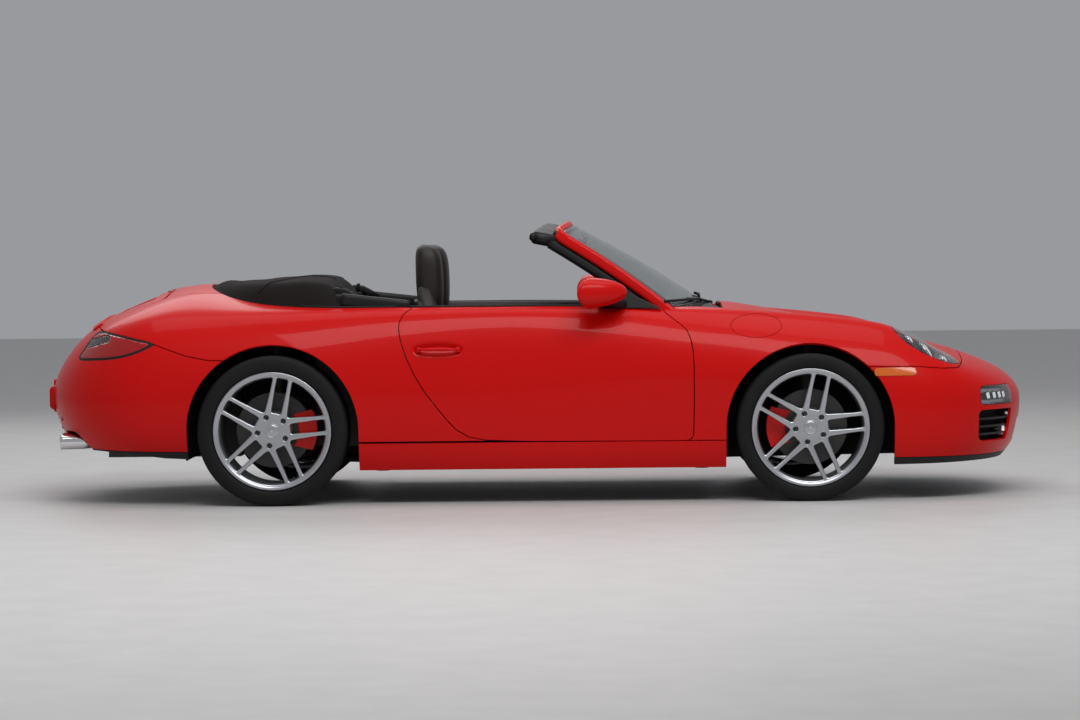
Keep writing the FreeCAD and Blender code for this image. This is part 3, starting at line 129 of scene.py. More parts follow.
def controlNet():
    midX = np.linspace(-1.5, 1.55, 27)
    fan = np.radians([10, 20, 31, 43, 55, 67, 79, 90])
    rows = len(midX) + 2 * len(fan)
    net = np.zeros((rows, len(bodyLines), 3))

    def fanRows(start, end, heights, power):
        # a line's way round the corner to the middle plane, as a rounded square
        return np.stack([
            start[0] + (end[0] - start[0]) * np.sin(fan) ** (2 / power),
            start[1] * np.clip(np.cos(fan), 0, 1) ** (2 / power),
            smoothThrough(fanTurns, [start[2], *heights, end[1]], np.degrees(fan))], 1)

    for j, (knots, places) in enumerate(bodyLines):
        y, z = (smoothThrough(knots, values, midX) for values in zip(*places))
        middle = np.stack([midX, y, z], 1)
        nose = fanRows(middle[-1], noseEnds[j], noseHeights[j], noseRound if j < 7 else 2.1)
        tail = fanRows(middle[0], tailEnds[j], tailHeights[j], tailRound if j < 7 else 2.3)
        net[:, j] = np.concatenate([tail[::-1], middle, nose])
    flip = np.array([1, -1, 1])
    # reflected rows past the middle plane keep the surface square to it
    net = np.concatenate([net[2:0:-1] * flip, net, net[-2:-4:-1] * flip])
    low = net[:, :1] * 2 - net[:, 1:2]
    net = np.concatenate([low, net, net[:, -2:-3:-1] * flip], 1)
    return net


def basis(n, at):
    # uniform cubic B-spline weights: at in 0..n-3
    i = np.clip(at.astype(int), 0, n - 4)
    t = at - i
    w = np.zeros((len(at), n))
    r = np.arange(len(at))
    w[r, i] = (1 - t) ** 3 / 6
    w[r, i + 1] = (3 * t ** 3 - 6 * t ** 2 + 4) / 6
    w[r, i + 2] = (-3 * t ** 3 + 3 * t ** 2 + 3 * t + 1) / 6
    w[r, i + 3] = t ** 3 / 6
    return w


bodyNet = controlNet()


def surfaceGrid(countU, countV):
    n, m = bodyNet.shape[:2]
    # the grid runs from middle plane to middle plane, and from the sill line to the top
    u = np.linspace(1, n - 4, 4000)
    v = np.linspace(0, m - 3, 1200)

    def place(u, v):
        return np.einsum("ui,vj,ijk->uvk", basis(n, u), basis(m, v), bodyNet)

    def evened(line, at, count):
        s = np.concatenate([[0], np.cumsum(np.linalg.norm(np.diff(line, axis=0), axis=1))])
        return np.interp(np.linspace(0, s[-1], count), s, at)

    # even spacing along the waist and round a middle section
    u = evened(place(u, np.array([5.2]))[:, 0], u, countU)
    v = evened(place(np.array([n * 0.72]), v)[0], v, countV)
    p = place(u, v)
    p[0, :, 1] = 0
    p[-1, :, 1] = 0
    p[:, -1, 1] = 0
    e = 1e-3
    du = place(np.minimum(u + e, n - 4), v) - place(np.maximum(u - e, 1), v)
    dv = place(u, np.minimum(v + e, m - 3)) - place(u, np.maximum(v - e, 0))
    normal = np.cross(du, dv)
    return p, normal / np.maximum(np.linalg.norm(normal, axis=2, keepdims=True), 1e-12)


def bodyMesh():
    countU, countV = int(5.0 / car["gridStep"]), int(1.55 / car["gridStep"])
    p, nrm = surfaceGrid(countU, countV)
    idx = np.arange(countU * countV).reshape(countU, countV)
    a, b, c, d = idx[:-1, :-1], idx[1:, :-1], idx[1:, 1:], idx[:-1, 1:]
    tris = np.concatenate([np.stack([a, b, c], -1).reshape(-1, 3), np.stack([a, c, d], -1).reshape(-1, 3)])
    p, nrm = p.reshape(-1, 3), nrm.reshape(-1, 3)
    return p, nrm, tris


report("body surface")
bodyP, bodyN, bodyT = bodyMesh()
if (bodyN[:, 1] * bodyP[:, 1]).sum() < 0:
    bodyN = -bodyN
faceN = np.cross(bodyP[bodyT[:, 1]] - bodyP[bodyT[:, 0]], bodyP[bodyT[:, 2]] - bodyP[bodyT[:, 0]])
flipped = (faceN * bodyN[bodyT].sum(1)).sum(1) < 0
bodyT[flipped] = bodyT[flipped][:, ::-1]


def clip(mesh, field):
    # keeps the part of a triangle mesh where field is above nought, cutting across triangles
    p, n, t = mesh
    f = np.where(np.abs(field) < 2e-6, 2e-6, field)
    inside = f > 0
    count = inside[t].sum(1)

    def turned(tris, single):
        # puts the corner that is alone on its side first
        k = single[tris].argmax(1)
        r = np.arange(len(tris))
        return np.stack([tris[r, (k + i) % 3] for i in range(3)], 1)

    one, two = turned(t[count == 1], inside), turned(t[count == 2], ~inside)
    parts, newP, newN = [t[count == 3]], [p], [n]
    pairs = np.concatenate([one[:, [0, 1]], one[:, [0, 2]], two[:, [0, 1]], two[:, [0, 2]]])
    if len(pairs):
        ends, back = np.unique(np.sort(pairs, 1), axis=0, return_inverse=True)
        a, b = ends[:, 0], ends[:, 1]
        w = (f[a] / (f[a] - f[b]))[:, None]
        newP.append(p[a] + (p[b] - p[a]) * w)
        nn = n[a] + (n[b] - n[a]) * w
        newN.append(nn / np.maximum(np.linalg.norm(nn, axis=1, keepdims=True), 1e-9))
        marks = [len(one), 2 * len(one), 2 * len(one) + len(two)]
        oneA, oneB, twoA, twoB = np.split(back.reshape(-1) + len(p), marks)
        parts.append(np.stack([one[:, 0], oneA, oneB], 1))
        parts.append(np.stack([two[:, 1], two[:, 2], twoB], 1))
        parts.append(np.stack([two[:, 1], twoB, twoA], 1))
    t = np.concatenate(parts)
    p, n = np.concatenate(newP), np.concatenate(newN)
    used = np.unique(t)
    where = np.full(len(p), -1)
    where[used] = np.arange(len(used))
    return p[used], n[used], where[t]


def curveThrough(points, step=0.01, closed=True):
    # Catmull-Rom line through flat points
    k = np.array(points, float)
    out = []
    count = len(k)
    for i in range(count if closed else count - 1):
        if closed:
            a, b, c, d = k[(i - 1) % count], k[i], k[(i + 1) % count], k[(i + 2) % count]
        else:
            a, b, c, d = k[max(i - 1, 0)], k[i], k[i + 1], k[min(i + 2, count - 1)]
        steps = max(2, int(np.linalg.norm(c - b) / step))
        t = np.linspace(0, 1, steps, endpoint=False)[:, None]
        la, lb = np.linalg.norm(c - a) + 1e-9, np.linalg.norm(d - b) + 1e-9
        seg = np.linalg.norm(c - b)
        m0, m1 = (c - a) / la * seg, (d - b) / lb * seg
        out.append((2 * t ** 3 - 3 * t ** 2 + 1) * b + (t ** 3 - 2 * t ** 2 + t) * m0
            + (-2 * t ** 3 + 3 * t ** 2) * c + (t ** 3 - t ** 2) * m1)
    if not closed:
        out.append(k[-1:])
    return np.concatenate(out)


def insideDistance(x, y, loop):
    # distance to a closed flat loop, above nought inside it
    best = np.full(len(x), 1e9)
    odd = np.zeros(len(x), bool)
    nxt = np.roll(loop, -1, 0)
    for (ax, ay), (bx, by) in zip(loop, nxt):
        dx, dy = bx - ax, by - ay
        ll = dx * dx + dy * dy + 1e-18
        t = np.clip(((x - ax) * dx + (y - ay) * dy) / ll, 0, 1)
        best = np.minimum(best, (x - ax - t * dx) ** 2 + (y - ay - t * dy) ** 2)
        cross = (ay > y) != (by > y)
        odd ^= cross & (x < ax + (y - ay) / (by - ay if by != ay else 1e-12) * dx)
    d = np.sqrt(best)
    return np.where(odd, d, -d)


doorLoop = np.array([
    (.545, .97), (.553, .87), (.575, .832), (.612, .802), (.648, .775), (.673, .750), (.688, .712),
     (.697, .66),
    (.700, .60), (.700, .45), (.697, .300), (.692, .283), (.680, .273), (.660, .270), (.40, .270), (0, .272),
    (-.103, .275), (-.215, .280), (-.285, .294), (-.340, .326), (-.386, .376), (-.43, .432), (-.480, .498),
    (-.52, .565), (-.556, .643), (-.580, .715), (-.589, .765), (-.586, .80), (-.568, .832), (-.54, .853),
    (-.518, .875), (-.510, .97)])


def evenLoop(half):
    # a closed outline from its left half, which starts and ends on the middle line
    return curveThrough(half + [(x, -y) for x, y in half[-2:0:-1]], .02)


lidLoop = evenLoop([
    (.842, 0), (.842, .30), (.842, .52), (.852, .572), (.90, .590), (1.05, .587), (1.25, .563), (1.42, .527),
    (1.57, .480), (1.70, .425), (1.80, .352), (1.865, .26), (1.895, .13), (1.902, 0)])
cockpitLoop = evenLoop([
    (.78, 0), (.765, .35), (.72, .57), (.62, .690), (.50, .716), (.2, .728), (-.2, .733), (-.6, .728),
    (-.85, .712), (-1.05, .672), (-1.24, .590), (-1.38, .455), (-1.455, .27), (-1.475, 0)])


def engineLidOutline(front):
    # the lid's rear and sides, with its front edge at a given place
    return evenLoop([
        (front, 0), (front, .25), (front - .002, .40), (front - .012, .456), (front - .045, .482),
        (-1.85, .490), (-1.945, .482), (-1.975, .455), (-1.995, .25), (-2.000, 0)])


# the opening's front edge is ahead of the lid's, which swings forward a little as it opens
engineLidLoop, engineHoleLoop = engineLidOutline(-1.655), engineLidOutline(-1.648)
frontBumperLoop = np.array([
    (1.30, .584), (1.50, .586), (1.66, .585), (1.80, .573), (1.868, .574), (1.90, .600), (1.93, .66),
     (2.4, .8), (2.4, -.2), (1.30, -.2)])
rearBumperLoop = np.array([
    (-1.10, .640), (-1.30, .637), (-1.42, .640), (-1.52, .660), (-1.62, .695), (-1.664, .712), (-1.80, .741),
     (-1.92, .771),
    (-1.965, .790), (-2.4, .86), (-2.4, -.2), (-1.10, -.2)])
tailLampLoop = curveThrough([
    (-1.664, .711), (-1.74, .7335), (-1.83, .7525), (-1.905, .766), (-1.940, .761), (-1.972, .729),
     (-2.000, .685), (-2.020, .650),
    (-2.005, .640), (-1.95, .641), (-1.87, .645), (-1.80, .655), (-1.74, .672), (-1.69, .694)], .006)
flapLoop = curveThrough([(.9765 + .1115 * math.cos(a), .7685 + .0505 * math.sin(a))
    for a in np.linspace(0, 2 * math.pi, 25)[:-1]], .006)
valanceLine = np.array([(-1.45, .236), (-1.60, .238), (-1.80, .240), (-1.92, .244), (-2.05, .250),
    (-2.3, .254)])
skirtFoot = np.array([(-1.45, .190), (-1.53, .198), (-1.70, .219), (-1.9, .238), (-2.05, .244), (-2.3, .248)])

handleLoop = curveThrough([(-.535, .675), (-.520, .700), (-.46, .712), (-.37, .712), (-.318, .700),
    (-.300, .676), (-.318, .652), (-.37, .641), (-.46, .641), (-.520, .652)], .006)
lampMid = np.array([1.742, .632, .688])
lampSlope = math.radians(36)
lampNormal = np.array([math.sin(lampSlope), .16, math.cos(lampSlope)])
lampNormal /= np.linalg.norm(lampNormal)
lampAlong = np.array([math.cos(lampSlope), -.02, -math.sin(lampSlope)])
lampAlong -= lampNormal * lampAlong.dot(lampNormal)
lampAlong /= np.linalg.norm(lampAlong)
lampAcross = np.cross(lampNormal, lampAlong)


def lampField(p):
    # about the distance inside the headlamp's oval
    a = (p - lampMid) @ lampAlong / .166
    c = (p - lampMid) @ lampAcross
    c = c / np.where(c * np.sign(lampAcross[1]) > 0, .118, .108)
    r = np.sqrt(a * a + c * c)
    return (1 - r) * .125


def archField(p):
    # round above the wheel's middle, upright below it
    def reach(x, z, radius):
        return np.hypot(p[:, 0] - x, np.maximum(p[:, 2] - z, 0)) - radius
    return np.minimum(reach(car["frontAxle"], car["frontWheelZ"], car["archRadius"]),
        reach(car["rearAxle"], car["rearWheelZ"], car["rearArchRadius"]))


def boxField(p, x0, x1, z0, z1, round=.012, axis=0):
    # distance inside a box with round corners, seen along Y, or along X where axis is 1
    qx = np.abs(p[:, axis] - (x0 + x1) / 2) - (x1 - x0) / 2 + round
    qz = np.abs(p[:, 2] - (z0 + z1) / 2) - (z1 - z0) / 2 + round
    return -(np.hypot(np.maximum(qx, 0), np.maximum(qz, 0)) + np.minimum(np.maximum(qx, qz), 0) - round)


bumperLampBox = (1.965, 2.30, .408, .492)
sideIntakeBox = (1.955, 2.30, .246, .386)
markerBox = (1.487, 1.671, .5440, .5795)


def side(loop):
    return lambda p: insideDistance(p[:, 0], p[:, 2], loop)


def plan(loop):
    return lambda p: insideDistance(p[:, 0], p[:, 1], loop)


doorF, lidF, cockpitF = side(doorLoop), plan(lidLoop), plan(cockpitLoop)
engineF, engineHoleF = plan(engineLidLoop), plan(engineHoleLoop)
handleF = side(handleLoop)
frontBumperF, rearBumperF = side(frontBumperLoop), side(rearBumperLoop)
tailLampF, flapF = side(tailLampLoop), side(flapLoop)


def bumperLampF(p):
    return np.minimum(boxField(p, *bumperLampBox, .018),
        np.minimum(.72 - np.abs(p[:, 1]), np.abs(p[:, 1]) - .47))


def sideIntakeF(p):
    return np.minimum(boxField(p, *sideIntakeBox, .025), np.minimum(.735 - p[:, 1], p[:, 1] - .485))


def centreIntakeF(p):
    return np.minimum(boxField(p, -.34, .34, .235, .335, .03, 1), p[:, 0] - 1.9)


def valanceF(p):
    return np.interp(-p[:, 0], -valanceLine[:, 0], valanceLine[:, 1]) - p[:, 2]


def exhaustF(p):
    return np.minimum(boxField(np.abs(p), .455, .645, .10, .322, .04, 1), -1.95 - p[:, 0])


def openEdges(tris):
    # edges that belong to one triangle only
    edges = np.concatenate([tris[:, [0, 1]], tris[:, [1, 2]], tris[:, [2, 0]]])
    first, count = np.unique(np.sort(edges, 1), axis=0, return_index=True, return_counts=True)[1:]
    return edges[first[count == 1]]


def edgeFaces(p, low, rim):
    # quads from an open edge down to its lowered copy, with their normals
    size = len(p)
    quads = np.stack([rim[:, 1], rim[:, 0], rim[:, 0] + size, rim[:, 1] + size], 1)
    a, b, c = p[quads[:, 0]], p[quads[:, 1]], low[rim[:, 0]]
    qn = np.cross(b - a, c - a)
    qn /= np.maximum(np.linalg.norm(qn, axis=1, keepdims=True), 1e-12)
    return quads, np.repeat(qn, 4, 0).tolist()


def linked(name, data):
    obj = bpy.data.objects.new(name, data)
    bpy.context.scene.collection.objects.link(obj)
    return obj


def shadedMesh(name, verts, faces, normals, finish):
    data = bpy.data.meshes.new(name)
    data.from_pydata(verts.tolist(), [], faces)
    data.update()
    data.polygons.foreach_set("use_smooth", [True] * len(data.polygons))
    data.normals_split_custom_set(normals)
    data.materials.append(mats[finish])
    return data


def panelObject(name, mesh, finish, edge=None, mirror=False, both=False):
    # an outer skin with its turned-in edge and inner face
    edge = car["panelEdge"] if edge is None else edge
    groups = []
    for flip in ([False, True] if both else [mirror]):
        p, n, t = (part.copy() for part in mesh)
        if flip:
            p[:, 1] *= -1
            n[:, 1] *= -1
            t = t[:, ::-1]
        groups.append((p, n, t))
    verts, faces, normals = [], [], []
    at = 0
    for p, n, t in groups:
        rim = openEdges(t)
        onMiddle = (np.abs(p[rim[:, 0], 1]) < 1e-5) & (np.abs(p[rim[:, 1],
            1]) < 1e-5) if both else np.zeros(len(rim), bool)
        rim = rim[~onMiddle]
        low = p - n * edge
        size = len(p)
        verts.append(np.concatenate([p, low]))
        faces += (t + at).tolist()
        normals += n[t].reshape(-1, 3).tolist()
        if len(rim):
            quads, edgeNormals = edgeFaces(p, low, rim)
            faces += (quads + at).tolist()
            normals += edgeNormals
        faces += (t[:, ::-1] + size + at).tolist()
        normals += (-n[t[:, ::-1]]).reshape(-1, 3).tolist()
        at += 2 * size
    return linked(name, shadedMesh(name, np.concatenate(verts), faces, normals, finish))


def raisedSkin(mesh, lift):
    p, n, t = mesh
    return p + n * lift, n, t


def cut(mesh, *fields):
    for f in fields:
        mesh = clip(mesh, f(mesh[0]))
        if len(mesh[2]) == 0:
            break
    return mesh


def without(field, gap):
    return lambda p: -field(p) - gap / 2


def within(field, gap):
    return lambda p: field(p) - gap / 2


bodyHalf = (bodyP, bodyN, bodyT)
skinTree = BVHTree.FromPolygons([Vector(p) for p in bodyP.tolist()], bodyT.tolist())


def skinHit(start, way, axis, missing):
    # where a line from outside or inside meets the body, along one axis
    hit = skinTree.ray_cast(Vector(start), Vector(way))[0]
    return hit[axis] if hit else missing


def skinSide(x, z):
    return skinHit((x, 0, z), (0, 1, 0), 1, .8)


def skinTop(x, y):
    return skinHit((x, abs(y), 2), (0, 0, -1), 2, .8)


def skinFront(y, z):
    return skinHit((4, abs(y), z), (-1, 0, 0), 0, 2.0)


def skinBack(y, z):
    return skinHit((-4, abs(y), z), (1, 0, 0), 0, -2.1)


# colour, roughness, metal, then the grain: size per metre, colour share, bump height
finishes = {
    "paint": dict(color=(.62, .0030, .0022), rough=.36, coat=.16, spec=.10, grain=420, mottle=.03,
        bump=.00003),
    "blackTrim": dict(color=(.008, .008, .0085), rough=.5, spec=.35, grain=900, mottle=.25, bump=.0002),
    "gloss": dict(color=(.008, .008, .009), rough=.12, coat=.5, grain=40, mottle=.2),
    "seal": dict(color=(.006, .006, .0065), rough=.55, spec=.35, grain=600, mottle=.2, bump=.0001),
    "underbody": dict(color=(.010, .010, .011), rough=.8, spec=.3, grain=120, mottle=.4, bump=.0006),
    "leather": dict(color=(.019, .0125, .0105), rough=.5, spec=.4, grain=520, mottle=.25, bump=.0005),
    "fabric": dict(color=(.012, .0085, .008), rough=.92, spec=.2, grain=900, mottle=.35, bump=.0006),
    "carpet": dict(color=(.020, .014, .012), rough=.95, grain=1200, mottle=.5, bump=.001),
    "silver": dict(color=(.50, .515, .54), rough=.29, metal=.85, coat=.4, grain=300, mottle=.04, bump=.00004),
    "steel": dict(color=(.42, .42, .43), rough=.34, metal=1, grain=240, mottle=.12, bump=.0001),
    "chrome": dict(color=(.82, .82, .84), rough=.07, metal=1, grain=60, mottle=.03),
    "iron": dict(color=(.10, .095, .09), rough=.6, metal=.7, grain=150, mottle=.35, bump=.0006),
    "caliper": dict(color=(.66, .004, .003), rough=.3, coat=.2, spec=.2, grain=200, mottle=.06, bump=.0001),
    "tyre": dict(color=(.0055, .0055, .006), rough=.7, spec=.28, grain=500, mottle=.25, bump=.0003),
    "disc": dict(color=(.075, .072, .070), rough=.45, metal=.8, grain=260, mottle=.2, bump=.0001),
    "plate": dict(color=(.66, .66, .64), rough=.4, coat=.3, grain=80, mottle=.05, bump=.0001),
    "dial": dict(color=(.016, .016, .018), rough=.5, grain=300, mottle=.1),
    "mark": dict(color=(.80, .80, .78), rough=.5, grain=300, mottle=.05, glow=.1),
    "lampClear": dict(color=(.92, .95, .97), rough=.02, glass=1, grain=30, mottle=.02),
    "lampRed": dict(color=(.36, .0015, .002), rough=.12, coat=.5, spec=.4, grain=60, mottle=.05),
    "lampAmber": dict(color=(.85, .16, .012), rough=.12, coat=.6, glass=.2, grain=200, mottle=.12,
        bump=.0002),
    "lampBowl": dict(color=(.50, .52, .55), rough=.18, metal=.9, grain=60, mottle=.08),
    "screen": dict(color=(.80, .88, .85), rough=.0, glass=1, grain=4, mottle=.02),
    "mirrorFace": dict(color=(.80, .82, .84), rough=.02, metal=1, grain=20, mottle=.02),
    "lens": dict(color=(1, 1, 1), rough=.04, coat=.5, grain=200, mottle=.03, glow=.35),
    # near-black, painted shade: used on the sheets and the disc set behind openings where there is only
    # shadow
    "shade": dict(color=(.004, .004, .004), rough=.9, grain=90, mottle=.3),
    "floor": dict(color=(.62, .61, .60), rough=.5, grain=5, mottle=.05, bump=.0004),
}


def makeFinish(name):
    look = finishes[name]
    mat = bpy.data.materials.new(name + "Finish")
    mat.use_nodes = True
    tree = mat.node_tree
    shader = tree.nodes["Principled BSDF"]
    coords = tree.nodes.new("ShaderNodeTexCoord")
    link = tree.links.new
    noiseNode = tree.nodes.new("ShaderNodeTexNoise")
    noiseNode.inputs["Scale"].default_value = look["grain"]
    noiseNode.inputs["Detail"].default_value = 4
    link(coords.outputs["Object"], noiseNode.inputs["Vector"])
    ramp = tree.nodes.new("ShaderNodeValToRGB")
    shades = ((.3, 1 - look["mottle"]), (.7, 1 + look["mottle"] * .5))
    for stop, (position, shade) in zip(ramp.color_ramp.elements, shades):
        stop.position = position
        stop.color = [min(c * shade, 1) for c in look["color"]] + [1]
    link(noiseNode.outputs["Fac"], ramp.inputs["Fac"])
    link(ramp.outputs["Color"], shader.inputs["Base Color"])
    for socket, value in (("Metallic", look.get("metal", 0)), ("Coat Weight", look.get("coat", 0)),
            ("Coat Roughness", .03), ("Specular IOR Level", look.get("spec", .5)),
            ("Transmission Weight", look.get("glass", 0))):
        shader.inputs[socket].default_value = value
    broad = tree.nodes.new("ShaderNodeTexNoise")
    broad.inputs["Scale"].default_value = 6
    link(coords.outputs["Object"], broad.inputs["Vector"])
    span = tree.nodes.new("ShaderNodeMapRange")
    span.inputs["To Min"].default_value = look["rough"] * .88
    span.inputs["To Max"].default_value = min(look["rough"] * 1.12, 1)
    link(broad.outputs["Fac"], span.inputs["Value"])
    link(span.outputs["Result"], shader.inputs["Roughness"])
    if look.get("bump"):
        bump = tree.nodes.new("ShaderNodeBump")
        bump.inputs["Distance"].default_value = look["bump"]
        link(noiseNode.outputs["Fac"], bump.inputs["Height"])
        link(bump.outputs["Normal"], shader.inputs["Normal"])
    if look.get("glow"):
        shader.inputs["Emission Color"].default_value = list(look["color"]) + [1]
        shader.inputs["Emission Strength"].default_value = look["glow"]
    return mat


mats = {name: makeFinish(name) for name in finishes}


def sideName(sign):
    return "Left" if sign > 0 else "Right"


def doorBody(sign):
    return "door_l" if sign > 0 else "door_r"


def place(obj, body, *nodes):
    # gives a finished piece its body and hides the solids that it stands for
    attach(obj, body)
    if nodes:
        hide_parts(*nodes)
    return obj


def beyond(axis, level, sign=1):
    return lambda p: sign * (p[:, axis] - level)


def coverF(p):
    return np.minimum(.420 - p[:, 1], np.minimum(-1.40 - p[:, 0], p[:, 0] + 1.70))


def cowlStripF(p):
    # the strip across the car between the glass and the front lid
    return np.minimum(.566 - p[:, 1], np.minimum(p[:, 0] - .70, .862 - p[:, 0]))


def louvreF(p):
    return np.minimum(.345 - np.abs(p[:, 1]), .075 - np.abs(p[:, 0] + 1.790))


def outerPanels():
    gap, lampGap = car["shutGap"], car["lampGap"]
    lamps = [without(lampField, lampGap), without(tailLampF, lampGap)]

    def pastMarker(p):
        return -boxField(p, *markerBox) - car["markerGap"]

    door = cut(bodyHalf, within(doorF, gap), without(cockpitF, gap), lambda p: -handleF(p))
    lid = cut(bodyHalf, within(lidF, gap), beyond(2, .6), beyond(0, .5))
    bumper = cut(bodyHalf, beyond(0, 1.2), within(frontBumperF, gap), without(lidF, gap), archField,
        without(lampField, lampGap), without(bumperLampF, lampGap), without(sideIntakeF, 0),
        without(centreIntakeF, 0), pastMarker, beyond(2, .188))
    fender = cut(bodyHalf, beyond(0, .30), without(doorF, gap), without(lidF, gap),
        without(frontBumperF, gap), without(cockpitF, gap), archField, without(lampField, lampGap),
        beyond(2, .2725), pastMarker, without(cowlStripF, 0))
    flapped = cut(fender, without(flapF, .003))
    quarter = cut(bodyHalf, beyond(0, .30, -1), without(doorF, gap), without(engineHoleF, gap),
        without(cockpitF, gap), without(rearBumperF, gap), archField, *lamps, beyond(2, .2775),
        without(coverF, .004))
    cover = cut(bodyHalf, beyond(0, -1.30, -1), within(coverF, .004), without(cockpitF, gap),
        without(engineHoleF, gap))
    sill = cut(bodyHalf, beyond(0, -1.0), beyond(0, 1.0, -1), archField, beyond(2, .268, -1), beyond(2, .150))
    rear = cut(bodyHalf, beyond(0, -1.0, -1), within(rearBumperF, gap), archField, *lamps,
        without(valanceF, .003), without(engineHoleF, gap), without(exhaustF, 0))
    skirt = cut(bodyHalf, beyond(0, -1.35, -1), within(valanceF, .003), archField, without(exhaustF, 0),
        beyond(2, .165), lambda p: np.maximum(p[:, 2] - np.interp(-p[:, 0], -skirtFoot[:, 0],
        skirtFoot[:, 1]), .45 - p[:, 1]))
    lip = cut(bodyHalf, beyond(0, 1.5), beyond(2, .1855, -1), archField, beyond(2, .142))
    engine = cut(bodyHalf, within(engineF, gap), beyond(2, .7), without(louvreF, 0))
    lipBand = cut(bodyHalf, within(engineF, gap), beyond(2, .7), beyond(0, -1.935, -1),
        lambda p: .455 - p[:, 1])
    lipBand = raisedSkin(lipBand, .009)
    flap = cut(bodyHalf, within(flapF, .001))
    both, right = {"both": True}, {"mirror": True}
    for name, mesh, body, nodes, form in (
            ("doorSkinLeft", door, "door_l", [], {}),
            ("doorSkinRight", door, "door_r", [], right),
            ("frontLidSkin", lid, "bonnet", ["front_lid"], both),
            ("frontBumperSkin", bumper, "chassis", ["front_bumper"], both),
            ("frontFenderLeft", fender, "chassis", ["front_fender_left"], {}),
            ("frontFenderRight", flapped, "chassis", ["front_fender_right"], right),
            ("rearQuarterLeft", quarter, "chassis", ["rear_quarter_left"], {}),
            ("rearQuarterRight", quarter, "chassis", ["rear_quarter_right"], right),
            ("sillPanels", sill, "chassis", ["sills"], both),
            ("rearBumperSkin", rear, "chassis", ["rear_bumper"], both),
            ("rearSkirt", skirt, "chassis", ["rear_valance"], both),
            ("frontLip", lip, "chassis", [], both),
            ("engineLidSkin", engine, "rear_lid", ["engine_lid"], {"edge": .006, **both}),
            ("engineLidLip", lipBand, "rear_lid", [], {"edge": .011, **both}),
            ("topCoverSkin", cover, "chassis", ["top_cover"], both),
            ("fuelFlapSkin", flap, "filler_flap", ["fuel_flap"], {"edge": .006, **right})):
        finish = "blackTrim" if name in ("rearSkirt", "frontLip") else "paint"
        place(panelObject(name, mesh, finish, **form), body, *nodes)
    report("outer panels")


outerPanels()


def meshObject(name, verts, faces, finish, smooth=True):
    data = bpy.data.meshes.new(name)
    data.from_pydata([tuple(v) for v in verts], [], [tuple(f) for f in faces])
    data.update()
    if smooth:
        data.polygons.foreach_set("use_smooth", [True] * len(data.polygons))
    data.materials.append(mats[finish])
    return linked(name, data)


def apply(obj):
    # turns an object and its modifiers into one plain mesh
    graph = bpy.context.evaluated_depsgraph_get()
    data = bpy.data.meshes.new_from_object(obj.evaluated_get(graph))
    obj.modifiers.clear()
    obj.data = data
    return obj


def walled(obj, thickness, offset=-1):
    # gives a sheet its thickness
    mod = obj.modifiers.new("wall", "SOLIDIFY")
    mod.thickness = thickness
    mod.offset = offset
    return apply(obj)


def sheetFaces(lines, ring):
    # quads between lines of points, with ring points in each line
    grid = [i * ring + k for i in range(lines - 1) for k in range(ring - 1)]
    return [(a, a + 1, a + ring + 1, a + ring) for a in grid]


def tubeFaces(rings, steps, closed=False):
    # quads between rings of points, and a face over each end of an open tube
    faces = []
    for i in range(rings if closed else rings - 1):
        j = (i + 1) % rings
        for k in range(steps):
            m = (k + 1) % steps
            faces.append((i * steps + k, i * steps + m, j * steps + m, j * steps + k))
    if not closed:
        faces.append(tuple(range(steps))[::-1])
        faces.append(tuple(range((rings - 1) * steps, rings * steps)))
    return faces


def bevelled(obj, width, segments=3, angle=35):
    mod = obj.modifiers.new("edge", "BEVEL")
    mod.width = width
    mod.segments = segments
    mod.limit_method = "ANGLE"
    mod.angle_limit = math.radians(angle)
    mod.harden_normals = False
    return apply(obj)


def joined(name, parts):
    # one object out of several, each keeping its own finish
    verts, faces, which, finishNames, smooth = [], [], [], [], []
    for part in parts:
        base = len(verts)
        matrix = part.matrix_basis
        verts += [matrix @ v.co for v in part.data.vertices]
        names = [m.name for m in part.data.materials]
        for n in names:
            if n not in finishNames:
                finishNames.append(n)
        flip = matrix.determinant() < 0
        for poly in part.data.polygons:
            ring = [base + v for v in poly.vertices]
            faces.append(ring[::-1] if flip else ring)
            which.append(finishNames.index(names[poly.material_index]))
            smooth.append(poly.use_smooth)
        bpy.data.objects.remove(part)
    data = bpy.data.meshes.new(name)
    data.from_pydata([tuple(v) for v in verts], [], faces)
    data.update()
    for n in finishNames:
        data.materials.append(bpy.data.materials[n])
    data.polygons.foreach_set("material_index", which)
    data.polygons.foreach_set("use_smooth", smooth)
    return linked(name, data)


def block(name, low, high, finish, edge=.004, segments=3):
    (x0, y0, z0), (x1, y1, z1) = low, high
    y0, y1 = sorted((y0, y1))
    verts = [(x0, y0, z0), (x1, y0, z0), (x1, y1, z0), (x0, y1, z0), (x0, y0, z1), (x1, y0, z1),
        (x1, y1, z1), (x0, y1, z1)]
    faces = [(0, 3, 2, 1), (4, 5, 6, 7), (0, 1, 5, 4), (1, 2, 6, 5), (2, 3, 7, 6), (3, 0, 4, 7)]
    obj = meshObject(name, verts, faces, finish)
    return bevelled(obj, edge, segments) if edge else obj


def lathed(name, profile, finish, steps=96, axis="Y", mid=(0, 0, 0)):
    # a profile of (along the axis, radius) turned about the axis
    verts = []
    for i in range(steps):
        a = 2 * math.pi * i / steps
        for along, r in profile:
            c, s = r * math.cos(a), r * math.sin(a)
            local = {"Y": (c, along, s), "X": (along, c, s), "Z": (c, s, along)}[axis]
            verts.append([mid[k] + local[k] for k in range(3)])
    return fixNormals(meshObject(name, verts, tubeFaces(steps, len(profile), True), finish))


def fixNormals(obj):
    bm = bmesh.new()
    bm.from_mesh(obj.data)
    bmesh.ops.remove_doubles(bm, verts=bm.verts, dist=1e-6)
    bmesh.ops.recalc_face_normals(bm, faces=bm.faces)
    bm.to_mesh(obj.data)
    bm.free()
    return obj


